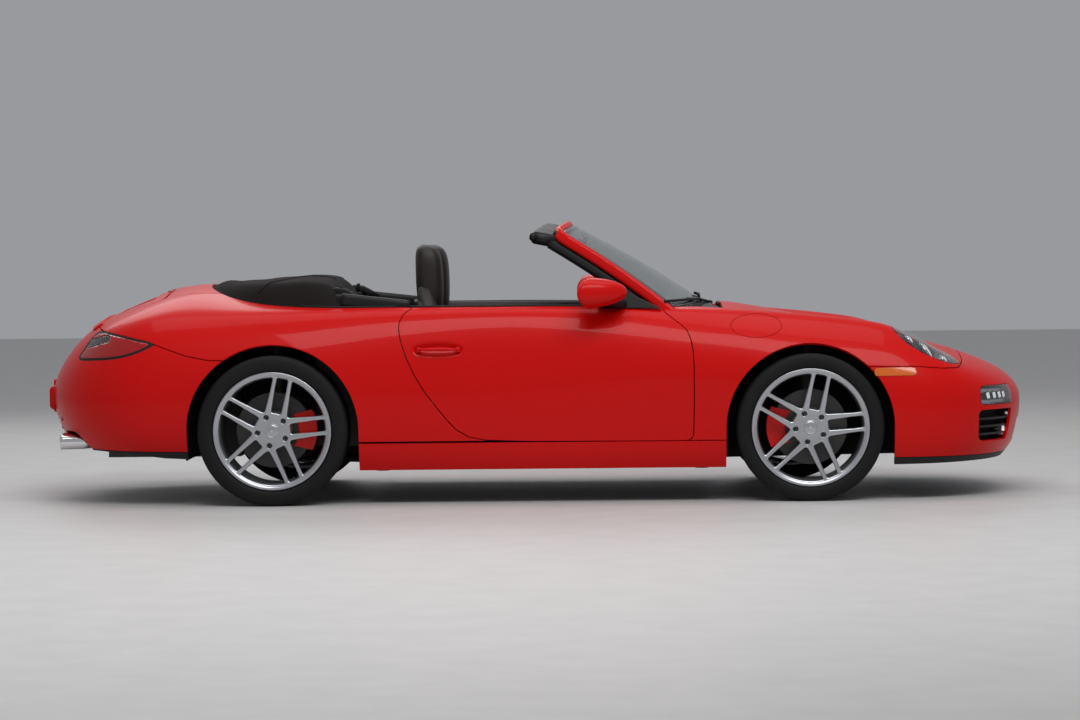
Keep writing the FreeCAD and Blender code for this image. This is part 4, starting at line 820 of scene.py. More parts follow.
def swept(name, path, outline, finish, closed=False, up=(0, 0, 1), scale=None):
    # a flat outline of (across, up) carried along a path of points
    p = np.array([Vector(point) for point in path], float)
    count = len(p)
    ahead = np.roll(p, -1, 0) - np.roll(p, 1, 0)
    if not closed:
        ahead[0], ahead[-1] = p[1] - p[0], p[-1] - p[-2]
    ahead /= np.linalg.norm(ahead, axis=1, keepdims=True)
    across = np.cross(ahead, np.array(up, float))
    across /= np.maximum(np.linalg.norm(across, axis=1, keepdims=True), 1e-9)
    raised = np.cross(across, ahead)
    verts = []
    for i in range(count):
        size = 1 if scale is None else scale[i]
        for a, b in outline:
            verts.append(p[i] + across[i] * a * size + raised[i] * b * size)
    return fixNormals(meshObject(name, verts, tubeFaces(count, len(outline), closed), finish))


def bent(value, power):
    # a power that keeps the sign
    return math.copysign(abs(value) ** power, value)


def circle(radius, steps=12):
    return [(radius * math.cos(2 * math.pi * i / steps), radius * math.sin(2 * math.pi * i / steps))
        for i in range(steps)]


def roundBox(wide, high, radius, steps=5):
    # a rectangle with round corners, as a flat outline
    out = []
    for cx, cy, start in ((1, 1, 0), (-1, 1, 90), (-1, -1, 180), (1, -1, 270)):
        for i in range(steps + 1):
            a = math.radians(start + 90 * i / steps)
            out.append((cx * (wide / 2 - radius) + radius * math.cos(a),
                cy * (high / 2 - radius) + radius * math.sin(a)))
    return out


wheel = {
    "bolts": 5,
    "boltCircle": .065,
    "firstBolt": 42,
    "armTurn": 28.5,
    "armRoot": .0150,
    "armEnd": .0095,
    "lobe": .0235,
    "hubRadius": .080,
    "rimRadius": .258,
    "rimInside": .2335,
    "blend": .012,
    "faceRound": .0065,
    "grid": .0030,
    "frontRimHalf": .111,
    "rearRimHalf": .142,
    "hubDrop": .021,
    "rimDrop": .004,
    "spokeThick": .024,
}


def smoothMax(a, b, k):
    h = np.clip(.5 + .5 * (a - b) / k, 0, 1)
    return b + (a - b) * h + k * h * (1 - h)


def spokeField(x, z):
    # about the distance inside the spokes, above nought on metal
    w = wheel
    r = np.hypot(x, z)
    best = w["hubRadius"] - r
    angle = np.arctan2(z, x) - math.radians(w["firstBolt"])
    sector = 2 * math.pi / w["bolts"]
    local = angle - np.round(angle / sector) * sector
    u, v = r * np.cos(local), np.abs(r * np.sin(local))
    best = smoothMax(best, w["lobe"] - np.hypot(u - w["boltCircle"], v), w["blend"] * .6)
    end = math.radians(w["armTurn"])
    e = np.array([math.cos(end), math.sin(end)]) * w["rimRadius"]
    s = np.array([w["boltCircle"] + .004, .006])
    d = e - s
    length = np.linalg.norm(d)
    d /= length
    t = np.clip(((u - s[0]) * d[0] + (v - s[1]) * d[1]) / length, 0, 1.1)
    half = w["armRoot"] + (w["armEnd"] - w["armRoot"]) * np.clip(t * 1.6, 0, 1)
    arm = half - np.hypot(u - s[0] - d[0] * t * length, v - s[1] - d[1] * t * length)
    best = smoothMax(best, arm, w["blend"])
    ring = r - w["rimInside"]
    return smoothMax(best, ring, w["blend"] * .7)


def spokeFace(r):
    # how far the spokes' face lies behind the rim's lip
    w = wheel
    share = np.clip((r - .05) / (w["rimRadius"] - .05), 0, 1)
    return w["hubDrop"] + (w["rimDrop"] - w["hubDrop"]) * share ** 1.6


def spokeDepth(x, z):
    # depth of the face behind the lip, with rounded edges
    w = wheel
    f = spokeField(x, z)
    edge = np.clip(1 - f / w["faceRound"], 0, 1)
    return spokeFace(np.hypot(x, z)) + w["faceRound"] * (1 - np.sqrt(np.clip(1 - edge * edge, 0, 1)))


def wheelFace():
    w = wheel
    n = int(2 * w["rimRadius"] / w["grid"])
    a = np.linspace(-w["rimRadius"], w["rimRadius"], n)
    x, z = np.meshgrid(a, a, indexing="ij")
    p = np.stack([x.ravel(), np.zeros(x.size), z.ravel()], 1)
    idx = np.arange(n * n).reshape(n, n)
    c0, c1, c2, c3 = idx[:-1, :-1], idx[1:, :-1], idx[1:, 1:], idx[:-1, 1:]
    tris = np.concatenate([np.stack([c0, c2, c1], -1).reshape(-1, 3),
        np.stack([c0, c3, c2], -1).reshape(-1, 3)])
    flat = np.tile([0.0, 1.0, 0.0], (len(p), 1))
    mesh = clip((p, flat, tris), spokeField(p[:, 0], p[:, 2]))
    mesh = clip(mesh, w["rimRadius"] - .0005 - np.hypot(mesh[0][:, 0], mesh[0][:, 2]))
    for k in range(w["bolts"]):
        turn = math.radians(w["firstBolt"] + 360 / w["bolts"] * k)
        bx, bz = w["boltCircle"] * math.cos(turn), w["boltCircle"] * math.sin(turn)
        mesh = clip(mesh, np.hypot(mesh[0][:, 0] - bx, mesh[0][:, 2] - bz) - .0135)
    p, n, t = mesh
    e = 2e-4
    y = -spokeDepth(p[:, 0], p[:, 2])
    dx = (spokeDepth(p[:, 0] + e, p[:, 2]) - spokeDepth(p[:, 0] - e, p[:, 2])) / (2 * e)
    dz = (spokeDepth(p[:, 0], p[:, 2] + e) - spokeDepth(p[:, 0], p[:, 2] - e)) / (2 * e)
    n = np.stack([dx, np.ones(len(p)), dz], 1)
    n /= np.linalg.norm(n, axis=1, keepdims=True)
    p = p.copy()
    p[:, 1] = y
    return p, n, t


def facePart(name, finish):
    # the spokes as a closed part: face, sides and flat back
    p, n, t = wheelFace()
    rim = openEdges(t)
    low = p.copy()
    low[:, 1] = -spokeFace(np.hypot(p[:, 0], p[:, 2])) - wheel["spokeThick"]
    quads, edgeNormals = edgeFaces(p, low, rim)
    faces = t.tolist() + quads.tolist() + (t[:, ::-1] + len(p)).tolist()
    normals = n[t].reshape(-1, 3).tolist() + edgeNormals + [[0, -1, 0]] * (3 * len(t))
    return shadedMesh(name, np.concatenate([p, low]), faces, normals, finish)


def rimProfile(half):
    # section of the rim, lip at y 0, from the street side inwards
    return [(0, .2545), (-.0015, .2580), (-.0085, .2580), (-.0100, .2545), (-.013, .2440), (-.030, .2415),
        (-.060, .2400), (-2 * half + .03, .2415), (-2 * half + .009, .2440), (-2 * half, .2580),
        (-2 * half - .003, .2560), (-2 * half + .012, .2330), (-.070, .2300), (-.040, .2285), (-.024, .2310),
        (-.014, .2350), (-.006, .2400), (-.001, .2480)]


def tyreProfile(half, radius):
    # outline of the tyre, with its wall, shoulder and four grooves round the tread
    lip = .2595
    out = [(half - .016, .2440), (half - .014, lip), (half - .0055, lip + .004), (half - .0015, lip + .014),
        (half, lip + .026), (half - .002, radius - .020), (half - .0055, radius - .011),
        (half - .012, radius - .004), (half - .022, radius - .0005)]
    for g in (.62, .22, -.22, -.62):
        mid = g * half
        out += [(mid + .0058, radius), (mid + .0042, radius - .0065), (mid - .0042, radius - .0065),
            (mid - .0058, radius)]
    tail = [(-y, r) for y, r in out[:9]][::-1]
    return out + tail


print("scene: wheel shapes")
spokeData = facePart("spokes", "silver")


def boltHead(name, x, z, y):
    parts = [lathed(name, [(y - .020, .0138), (y - .001, .0138), (y + .0015, .0125), (y + .0015, .0118),
        (y - .010, .0112), (y - .0105, .0001), (y - .02, .0001)], "silver", 24, "Y", (x, 0, z)),
        lathed(name + "Head", [(y - .010, .0088), (y - .0025, .0088), (y - .001, .0074), (y - .001, .0042),
        (y - .005, .0036), (y - .005, .0001), (y - .010, .0001)], "gloss", 6, "Y", (x, 0, z))]
    return parts


def capPart(y):
    # smooth centre cap with two plain rings
    profile = [(y - .012, .0001), (y - .012, .0300), (y + .0005, .0312), (y + .0020, .0300),
        (y + .0020, .0268), (y + .0010, .0262), (y + .0016, .0255), (y + .0030, .0180), (y + .0036, .0080),
        (y + .0038, .0001)]
    return lathed("cap", profile, "silver", 48)


def wheelAssembly(end, side):
    front = end == "front"
    half = wheel["frontRimHalf"] if front else wheel["rearRimHalf"]
    corner = end + "_" + side
    low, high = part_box("tyre_" + corner)
    mid = (Vector(low) + Vector(high)) / 2
    radius = (high[2] - low[2]) / 2
    tyreHalf = (high[1] - low[1]) / 2
    parts = [linked("spokes", spokeData.copy())]
    parts.append(lathed("rim", rimProfile(half), "silver", 128))
    hubY = -wheel["hubDrop"]
    parts.append(capPart(hubY))
    parts.append(lathed("hub", [(hubY - .02, .0001), (hubY - .02, .078), (hubY - .050, .083),
        (hubY - .075, .083), (hubY - .075, .0001)], "silver", 64))
    for k in range(wheel["bolts"]):
        turn = math.radians(wheel["firstBolt"] + 360 / wheel["bolts"] * k)
        parts += boltHead("bolt", wheel["boltCircle"] * math.cos(turn), wheel["boltCircle"] * math.sin(turn),
            hubY - .001)
    valve = math.radians(wheel["firstBolt"] + 180 / wheel["bolts"] * 7)
    parts.append(swept("valve", [(.236 * math.cos(valve), -.030, .236 * math.sin(valve)),
        (.222 * math.cos(valve), -.014, .222 * math.sin(valve))], circle(.0045, 10), "gloss"))
    for p in parts:
        for v in p.data.vertices:
            v.co.y += half
    tyre = lathed("tyre", tyreProfile(tyreHalf, radius), "tyre", 144)
    street = 1 if side == "left" else -1
    out = []
    for name, group in (("wheelRim_" + corner, parts), ("wheelTyre_" + corner, [tyre])):
        for p in group:
            if street < 0:
                for v in p.data.vertices:
                    v.co.y = -v.co.y
                p.data.flip_normals()
            for v in p.data.vertices:
                v.co += mid
        out.append(joined(name, group))
    place(out[0], "wheel_" + corner, "rim_" + corner)
    place(out[1], "wheel_" + corner, "tyre_" + corner)


for end in ("front", "rear"):
    for side in ("left", "right"):
        wheelAssembly(end, side)
report("wheels")


def archLiner(name, x, z, radius, inner, outer):
    # a half-round tunnel with its inner wall, open below
    angles = [math.radians(a) for a in range(-20, 201, 4)]
    verts = []
    side = 1 if outer > 0 else -1
    for a in angles:
        reach = skinSide(x + (radius + .01) * math.cos(a), z + (radius + .01) * math.sin(a)) - .013
        for y, r in ((side * min(abs(outer), reach), radius), (inner, radius), (inner, radius * .62)):
            turn = math.cos(a) if math.sin(a) > 0 else math.copysign(1, math.cos(a))
            verts.append((x + r * turn, y, z + r * math.sin(a)))
    return walled(meshObject(name, verts, sheetFaces(len(angles), 3), "underbody"), .003)


def liners():
    parts = []
    for side in (1, -1):
        front = archLiner("front", car["frontAxle"], car["frontWheelZ"], .386, .436 * side, .90 * side)
        rear = archLiner("rear", car["rearAxle"], car["rearWheelZ"], .388, .536 * side, .90 * side)
        parts += [front, rear]
    place(joined("wheelWells", parts), "chassis")


def backing(name, mesh, depth):
    # a near-black skin a little inside the body behind an opening: painted shade for the dark space there
    return panelObject(name, raisedSkin(mesh, -depth), "shade", edge=.002, both=True)


def backings():
    nose = cut(bodyHalf, beyond(0, 1.74), beyond(2, .60, -1), beyond(2, .16))
    place(backing("noseInside", nose, .060), "chassis")
    # a near-black plate low in the nose: painted shade under the intakes
    rows = [(x, skinSide(x, .192) - .035) for x in np.linspace(1.68, 2.09, 14)]
    tray = meshObject("noseTray", [(x, side * half, .192) for x, half in rows for side in (-1, 1)],
        [(2 * i, 2 * i + 2, 2 * i + 3, 2 * i + 1) for i in range(len(rows) - 1)], "shade", smooth=False)
    place(walled(tray, .002), "chassis")
    tail = cut(bodyHalf, beyond(0, -1.60, -1), beyond(2, .80, -1), beyond(2, .30), beyond(1, .40))
    place(backing("tailInside", tail, .075), "chassis")


liners()
backings()


def facing(parts, where, normal, along):
    # moves parts made round the Z axis so that Z points along normal
    z = Vector(normal).normalized()
    x = Vector(along)
    x = (x - z * x.dot(z)).normalized()
    turn = Matrix((x, z.cross(x), z)).transposed().to_4x4()
    for part in parts:
        part.matrix_basis = Matrix.Translation(Vector(where)) @ turn
        part.data.transform(part.matrix_basis)
        part.matrix_basis = Matrix.Identity(4)
    return parts


def reflectorLamp(radius, depth, lens="lens"):
    # a round lamp looking along Z: chrome ring, bowl and domed lens
    ring = lathed("ring", [(0, radius * 1.16), (.006, radius * 1.13), (.007, radius * 1.02), (0, radius),
        (-depth, radius * .5), (-depth, .0001), (-depth - .003, .0001), (-depth - .003, radius * .6),
        (-.004, radius * 1.14)], "lampBowl", 48, "Z")
    dome = lathed("dome", [(-.004, radius * .985), (.004, radius * .9), (.010, radius * .62),
        (.0125, radius * .3), (.013, .0001), (-.002, .0001), (-.008, radius * .9)], lens, 48, "Z")
    return [ring, dome]


def headlamp(mirror):
    tag = "Right" if mirror else "Left"
    flip = np.array([1, -1 if mirror else 1, 1])
    region = cut(bodyHalf, within(lampField, .002), beyond(2, .5))
    p, n, t = region
    cover = panelObject("headlampCover" + tag, region, "lampClear", edge=.0035, mirror=mirror)
    place(cover, "chassis")
    # the bowl sinks towards the middle of the oval
    inside = np.clip(lampField(p) / .125, 0, 1)
    look = np.array([.80, .12, .58])
    bowl = (p - n * (.010 + .062 * (1 - (1 - inside) ** 2.2))[:, None], n, t)
    parts = [panelObject("bowl", bowl, "gloss", edge=.002, mirror=mirror)]
    for shift, across, radius, depth in ((.012, .008, .046, .018), (-.085, .004, .024, .010),
            (.103, -.006, .021, .008)):
        where = lampMid + lampAlong * shift + lampAcross * across
        up = skinTop(where[0], where[1])
        where = np.array([where[0], where[1], up]) - lampNormal * (.030 if radius > .04 else .026)
        parts += facing(reflectorLamp(radius, depth), where * flip, look * flip, (0, 1, 0))
    lamp = fixNormals(joined("headlampInside" + tag, parts))
    place(lamp, "chassis", *["headlamps"] * mirror)


for mirror in (False, True):
    headlamp(mirror)


def stripLamp(mirror):
    # daytime lamp over the outer intake: clear cover, silver housing and four square elements
    tag = "Right" if mirror else "Left"
    sign = -1 if mirror else 1
    region = cut(bodyHalf, within(bumperLampF, .002))
    cover = panelObject("stripCover" + tag, region, "lampClear", edge=.003, mirror=mirror)
    place(cover, "chassis")
    parts = [panelObject("back", raisedSkin(region, -.026), "lampBowl", edge=.002, mirror=mirror)]
    for y in (.535, .575, .615, .655):
        x = skinFront(y, .450)
        face = Vector((x - .017, y * sign, .447))
        look = skinNormal(y, .450)
        look.y *= sign
        parts += facing([block("cell", (-.015, -.018, -.008), (.015, .018, .002), "gloss", .002, 2),
            block("glowing", (-.011, -.013, .001), (.011, .013, .005), "lens", .002, 2)], face, look,
            (0, -sign, 0))
    place(joined("stripInside" + tag, parts), "chassis", *["bumper_lamps"] * mirror)


def skinNormal(y, z):
    normal = skinTree.ray_cast(Vector((4, abs(y), z)), Vector((-1, 0, 0)))[1]
    if normal is None:
        return Vector((1, 0, 0))
    return normal if normal.x > 0 else -normal


for mirror in (False, True):
    stripLamp(mirror)


def sideMarkers():
    mesh = cut(bodyHalf, lambda p: boxField(p, *markerBox) - .0005, beyond(0, 1.2))
    p, n, t = mesh
    ribs = .0011 * np.abs(np.sin(p[:, 0] * 260))
    place(panelObject("sideMarkerLens", (p + n * (.0015 + ribs)[:, None], n, t), "lampAmber", edge=.010,
        both=True), "chassis", "side_markers")


sideMarkers()


def tailLamp(mirror):
    tag = "Right" if mirror else "Left"
    region = cut(bodyHalf, within(tailLampF, .018), beyond(0, -1.5, -1), beyond(1, .43))

    def clearField(q):
        # the reversing window is the upper rear part of the lens
        return np.minimum(.017 - np.abs(q[:, 2] - .722 - (q[:, 0] + 1.93) * .25), -(q[:, 0] + 1.870))

    red = cut(region, lambda q: -clearField(q) - .001)
    white = cut(region, lambda q: clearField(q) - .001)
    parts = [panelObject("red", raisedSkin(red, .0015), "lampRed", edge=.004, mirror=mirror),
        panelObject("white", raisedSkin(white, .001), "lampClear", edge=.004, mirror=mirror)]
    place(joined("tailLampLens" + tag, parts), "chassis")
    inside = panelObject("tailLampInside" + tag, raisedSkin(region, -.030), "lampRed", edge=.003,
        mirror=mirror)
    place(inside, "chassis", *["tail_lamps"] * mirror)
    gasket = cut(bodyHalf, lambda q: tailLampF(q) + .001, lambda q: .0095 - tailLampF(q),
        beyond(0, -1.5, -1), beyond(1, .42))
    place(panelObject("tailLampSeal" + tag, raisedSkin(gasket, -.0006), "seal", edge=.006, mirror=mirror),
        "chassis")


for mirror in (False, True):
    tailLamp(mirror)
report("lamps")


def slatTree(name):
    # Geometry Nodes: a row of slats, one pitch apart
    tree = bpy.data.node_groups.new(name, "GeometryNodeTree")
    face = tree.interface
    face.new_socket("Geometry", in_out="OUTPUT", socket_type="NodeSocketGeometry")
    for label, kind in (("Wide", "NodeSocketFloat"), ("Deep", "NodeSocketFloat"),
            ("Thick", "NodeSocketFloat"), ("Count", "NodeSocketInt"), ("Pitch", "NodeSocketVector"),
            ("Tilt", "NodeSocketFloat"), ("Finish", "NodeSocketMaterial")):
        face.new_socket(label, in_out="INPUT", socket_type=kind)
    nodes = {label: tree.nodes.new(kind) for label, kind in (
        ("start", "NodeGroupInput"), ("size", "ShaderNodeCombineXYZ"), ("slat", "GeometryNodeMeshCube"),
        ("line", "GeometryNodeMeshLine"), ("turn", "ShaderNodeCombineXYZ"),
        ("spread", "GeometryNodeInstanceOnPoints"), ("real", "GeometryNodeRealizeInstances"),
        ("paint", "GeometryNodeSetMaterial"), ("end", "NodeGroupOutput"))}
    for giver, output, taker, socket in (
            ("start", "Deep", "size", "X"), ("start", "Wide", "size", "Y"), ("start", "Thick", "size", "Z"),
            ("size", "Vector", "slat", "Size"), ("start", "Count", "line", "Count"),
            ("start", "Pitch", "line", "Offset"), ("line", "Mesh", "spread", "Points"),
            ("slat", "Mesh", "spread", "Instance"), ("start", "Tilt", "turn", "Y"),
            ("turn", "Vector", "spread", "Rotation"), ("spread", "Instances", "real", "Geometry"),
            ("real", "Geometry", "paint", "Geometry"), ("start", "Finish", "paint", "Material"),
            ("paint", "Geometry", "end", "Geometry")):
        tree.links.new(nodes[giver].outputs[output], nodes[taker].inputs[socket])
    return tree


slats = slatTree("slats")


def slatStack(name, where, wide, deep, thick, count, pitch, tilt, finish="blackTrim"):
    obj = meshObject(name, [(0, 0, 0)], [], finish)
    mod = obj.modifiers.new("slats", "NODES")
    mod.node_group = slats
    values = {"Wide": wide, "Deep": deep, "Thick": thick, "Count": count, "Pitch": pitch,
        "Tilt": math.radians(tilt), "Finish": mats[finish]}
    for item in slats.interface.items_tree:
        if item.in_out == "INPUT":
            mod[item.identifier] = values[item.name]
    apply(obj)
    obj.data.materials.clear()
    obj.data.materials.append(mats[finish])
    obj.data.polygons.foreach_set("material_index", [0] * len(obj.data.polygons))
    obj.data.transform(Matrix.Translation(where))
    return obj


screen = {
    # middle and side of the foot, then of the header: x, y, z
    "footMid": (.775, 0, .872),
    "footSide": (.612, .735, .842),
    "headMid": (.158, 0, 1.234),
    "headSide": (.104, .572, 1.198),
    "bow": 2.2,
}


def screenPoint(across, up, lift=0):
    # across -1 to 1, up 0 to 1, lift out of the glass
    s = screen
    bow = abs(across) ** s["bow"]
    low = Vector(s["footMid"]).lerp(Vector(s["footSide"]), bow)
    high = Vector(s["headMid"]).lerp(Vector(s["headSide"]), bow)
    low.y = s["footSide"][1] * across
    high.y = s["headSide"][1] * across
    point = low.lerp(high, up)
    # the glass is a little fuller half way up
    full = .012 * math.sin(math.pi * min(max(up, 0), 1))
    out = Vector((.56, .16 * across, .80)).normalized()
    return point + out * (full + lift)


def screenGrid(name, finish, a0, a1, u0, u1, lift, thick, countA=48, countU=24):
    verts = []
    for layer in (0, 1):
        for i in range(countU + 1):
            for j in range(countA + 1):
                verts.append(screenPoint(a0 + (a1 - a0) * j / countA, u0 + (u1 - u0) * i / countU,
                    lift - thick * layer))
    row = countA + 1
    size = row * (countU + 1)
    faces = sheetFaces(countU + 1, row)
    faces += [(a + size, d + size, c + size, b + size) for a, b, c, d in faces]
    for j in range(countA):
        for i in (0, countU):
            a = i * row + j
            faces.append((a, a + 1, a + 1 + size, a + size))
    for i in range(countU):
        for j in (0, countA):
            a = i * row + j
            faces.append((a, a + row, a + row + size, a + size))
    return fixNormals(meshObject(name, verts, faces, finish))


def pillarPath(across, lift, u0=-.03, u1=1.0, count=28, inward=0):
    out = []
    for i in range(count + 1):
        u = u0 + (u1 - u0) * i / count
        point = screenPoint(across, u, lift)
        point.y -= inward * (1 if across > 0 else -1)
        out.append(point)
    return out


def windscreen():
    glass = screenGrid("windscreenGlass", "screen", -.955, .955, .015, .965, -.002, .005)
    place(glass, "chassis", "windscreen")
    band = [screenGrid("top", "gloss", -.955, .955, .93, .966, -.0012, .0012, 48, 3),
        screenGrid("low", "gloss", -.955, .955, .014, .045, -.0012, .0012, 48, 3),
        screenGrid("left", "gloss", .925, .955, .014, .966, -.0012, .0012, 3, 24),
        screenGrid("right", "gloss", -.955, -.925, .014, .966, -.0012, .0012, 3, 24)]
    place(joined("windscreenBorder", band), "chassis")
    painted, sealed = [], []
    slope = (.56, 0, .8)
    for side in (1, -1):
        path = [p + Vector((-.003, 0, 0)) for p in pillarPath(side * .985, -.066, -.03, .985, 28, .006)]
        sealed.append(swept("pillarSeal", path, roundBox(.034, .038, .012), "seal", up=slope))
        path = [p + Vector((-.004, 0, -.004)) for p in pillarPath(side * .985, -.080, -.03, .98, 28, .010)]
        sealed.append(swept("pillarLip", path, roundBox(.018, .016, .006), "seal", up=slope))
        path = pillarPath(side * .945, -.040, 0, 1.0, 28, .004)
        sealed.append(swept("pillarTrim", path, roundBox(.040, .060, .016), "blackTrim", up=slope))
    across = [i / 24 for i in range(-24, 25)]
    half = [(.985, u) for u in np.linspace(-.06, .885, 26)]
    half += [(.865 + .12 * math.cos(a), .895 + .095 * math.sin(a)) for a in np.linspace(.1, math.pi / 2, 10)]
    half += [(a, .99) for a in np.linspace(.84, .03, 16)]
    line = half + [(-a, u) for a, u in half[::-1]]
    painted.append(swept("frame", [screenPoint(a, u, -.020) for a, u in line], roundBox(.036, .050, .014),
        "paint", up=slope))
    inner = [screenPoint(a * .975, .985, -.034) + Vector((-.052, 0, .004 - .010 * abs(a))) for a in across]
    sealed.append(swept("headerTrim", [p - Vector((0, 0, .007)) for p in inner], roundBox(.112, .054, .022),
        "blackTrim", up=(.20, 0, .98)))
    lip = [p + Vector((-.047, 0, .004)) for p in inner]
    sealed.append(swept("headerSeal", lip, roundBox(.028, .034, .012), "seal", up=(.2, 0, .98)))
    foot = [screenPoint(a * .985, -.012, -.004) for a in across]
    sealed.append(swept("footSeal", foot, roundBox(.020, .012, .005), "seal", up=slope))
    for y in (-.155, .155):
        sealed.append(block("visor", (.075, y * 2.1 - .13, 1.138), (.215, y * 2.1 + .13, 1.152), "leather",
            .006))
        sealed.append(block("latch", (.035, y * 2 - .035, 1.150), (.085, y * 2 + .035, 1.175), "seal", .008))
    rear = [(.215, y, 1.112 + .010 * (1 - (y / .115) ** 2)) for y in np.linspace(-.115, .115, 15)]
    sealed.append(swept("rearMirror", rear, roundBox(.026, .062, .012), "gloss"))
    sealed.append(swept("rearMirrorFoot", [(.222, 0, 1.118), (.235, 0, 1.16), screenPoint(0, .90, -.008)],
        circle(.010), "gloss", up=(0, 1, 0)))
    place(joined("windscreenPaint", painted), "chassis", "windscreen_frame")
    place(joined("windscreenSeals", sealed), "chassis")


windscreen()


def wipers():
    parts = []
    for y in (.36, -.20):
        pivot = screenPoint(y / .735, -.035, .012)
        tip = screenPoint((y - .52) / .735, .075, .014)
        middle = pivot.lerp(tip, .55) + Vector((.004, 0, .010))
        parts.append(swept("arm", [pivot, pivot.lerp(middle, .5) + Vector((0, 0, .006)), middle],
            roundBox(.014, .008, .003), "blackTrim"))
        blade = [screenPoint((y - .10 - .44 * k / 10) / .735, .012 + .062 * k / 10, .008) for k in range(11)]
        parts.append(swept("blade", blade, roundBox(.010, .012, .003), "seal"))
        parts.append(lathed("nut", [(0, .0001), (0, .016), (.012, .014), (.016, .008), (.016, .0001)],
            "blackTrim", 24, "Z", tuple(pivot - Vector((0, 0, .010)))))
    place(joined("wipers", parts), "chassis")


wipers()


def cowlPanel():
    # black louvred strip between the bonnet and the glass, out to the wings
    mesh = cut(bodyHalf, lambda p: np.maximum(cockpitF(p) - car["shutGap"], cowlStripF(p) - .003),
        beyond(0, .45), lambda p: p[:, 0] - .68 + .35 * p[:, 1] ** 2)
    p, n, t = mesh
    share = np.clip((p[:, :1] - .800) / .018, 0, 1)
    drop = .004 + .020 * share * share * (3 - 2 * share)
    place(panelObject("cowlPanel", (p - n * drop, n, t), "blackTrim", both=True), "chassis", "cowl")
    parts = []
    for k in range(26):
        y = -.50 + .04 * k
        x = .772 - .05 * (y / .5) ** 2
        z = skinTop(x, y) - .004
        parts.append(block("louvre", (x - .016, y - .013, z - .004), (x + .016, y + .013, z + .003),
            "blackTrim", .0015, 1))
    place(joined("cowlLouvres", parts), "chassis")


cowlPanel()


def doorShell(sign):
    # the door's body between its painted skin and its trim: an edge band and an inner wall
    tag = sideName(sign)
    body = doorBody(sign)
    loop = curveThrough(doorLoop[1:-1], .03, closed=False)
    mid = loop.mean(0)
    loop = loop - (loop - mid) / np.linalg.norm(loop - mid, axis=1, keepdims=True) * .010
    loop = loop[loop[:, 1] < .846]
    innerY = .690
    verts = []
    count = len(loop)
    for x, z in loop:
        out = skinSide(x, z) - .011
        verts += [(x, sign * out, z), (x, sign * innerY, z)]
    edge = meshObject("edge", verts, sheetFaces(count, 2), "paint")
    flat = meshObject("wall", [(x, sign * innerY, z) for x, z in loop], [tuple(range(count))], "blackTrim",
        False)
    parts = [edge, flat]
    for part in parts:
        walled(part, .003)
    place(joined("doorShell" + tag, parts), body, "door_" + tag.lower())
    trim = []
    rail = [(x, sign * .700, .840) for x in np.linspace(.50, -.55, 22)]
    trim.append(swept("rail", rail, roundBox(.060, .050, .020), "leather"))
    verts = []
    rows = 8
    for i in range(25):
        u = i / 24
        for j in range(rows + 1):
            v = j / rows
            x = .49 - (.72 + .30 * v ** 1.4) * u
            z = .305 + .505 * v
            bulge = .012 + .016 * math.sin(math.pi * v) * math.sin(math.pi * u)
            verts.append((x, sign * (innerY - bulge), z))
    card = meshObject("card", verts, sheetFaces(25, rows + 1), "leather")
    trim.append(walled(card, .012, 0))
    arm = [(x, sign * .655, .612 + .035 * t * t) for t,
        x in ((k / 12, .30 - .62 * k / 12) for k in range(13))]
    trim.append(swept("armrest", arm, roundBox(.062, .042, .018), "leather"))
    trim.append(block("pocket", (-.10, sign * .636, .335), (.40, sign * .686, .455), "blackTrim", .016, 4))
    pull = [(.16, sign * .662, .655), (.14, sign * .636, .70), (.02, sign * .632, .735),
        (-.08, sign * .64, .745)]
    trim.append(swept("pull", pull, circle(.011), "silver"))
    trim.append(facing([block("lever", (-.045, -.008, -.006), (.045, .008, .006), "silver", .004)],
        Vector((.24, sign * .667, .735)), (0, -sign, 0), (1, 0, 0))[0])
    speaker = lathed("speaker", [(0, .0001), (0, .072), (.008, .070), (.009, .064), (.005, .060),
        (.007, .0001)], "blackTrim", 48)
    for v in speaker.data.vertices:
        v.co = Vector((v.co.x + .30, sign * (.674 - v.co.y), v.co.z + .52))
    fixNormals(speaker)
    trim.append(speaker)
    place(joined("doorTrim" + tag, trim), body)


def doorHandle(sign):
    tag = sideName(sign)
    body = doorBody(sign)
    path = []
    for k in range(17):
        u = k / 16
        x = -.495 + .160 * u
        z = .676 + .004 * math.sin(math.pi * u)
        lift = .010 + .012 * math.sin(math.pi * u) ** .6
        path.append((x, sign * (skinSide(x, z) + lift), z))
    grip = swept("grip", path, roundBox(.026, .014, .006), "paint",
        scale=[.78 + .22 * math.sin(math.pi * k / 16) for k in range(17)])
    parts = [grip]
    for x in (-.500, -.330):
        y = skinSide(x, .676)
        parts.append(block("foot", (x - .010, sign * (y - .012), .666), (x + .010, sign * (y + .012), .688),
            "paint", .005))
    place(joined("doorHandle" + tag, parts), body)


def handleDish(sign):
    # a shallow dish behind the grip, pressed into the skin
    tag = sideName(sign)
    p, n, t = cut(bodyHalf, lambda q: handleF(q) - .0005, beyond(1, .5))
    inside = np.clip(handleF(p) / .030, 0, 1)
    depth = .013 * inside * inside * (3 - 2 * inside)
    e = 1e-3
    dx = (handleF(p + [e, 0, 0]) - handleF(p - [e, 0, 0])) / (2 * e)
    dz = (handleF(p + [0, 0, e]) - handleF(p - [0, 0, e])) / (2 * e)
    slope = .013 * 6 * inside * (1 - inside) / .030
    nn = n + np.stack([dx * slope, np.zeros(len(p)), dz * slope], 1)
    nn /= np.linalg.norm(nn, axis=1, keepdims=True)
    q = p.copy()
    q[:, 1] -= depth
    place(panelObject("doorHandleDish" + tag, (q, nn, t), "paint", edge=.004, mirror=sign < 0),
        doorBody(sign))


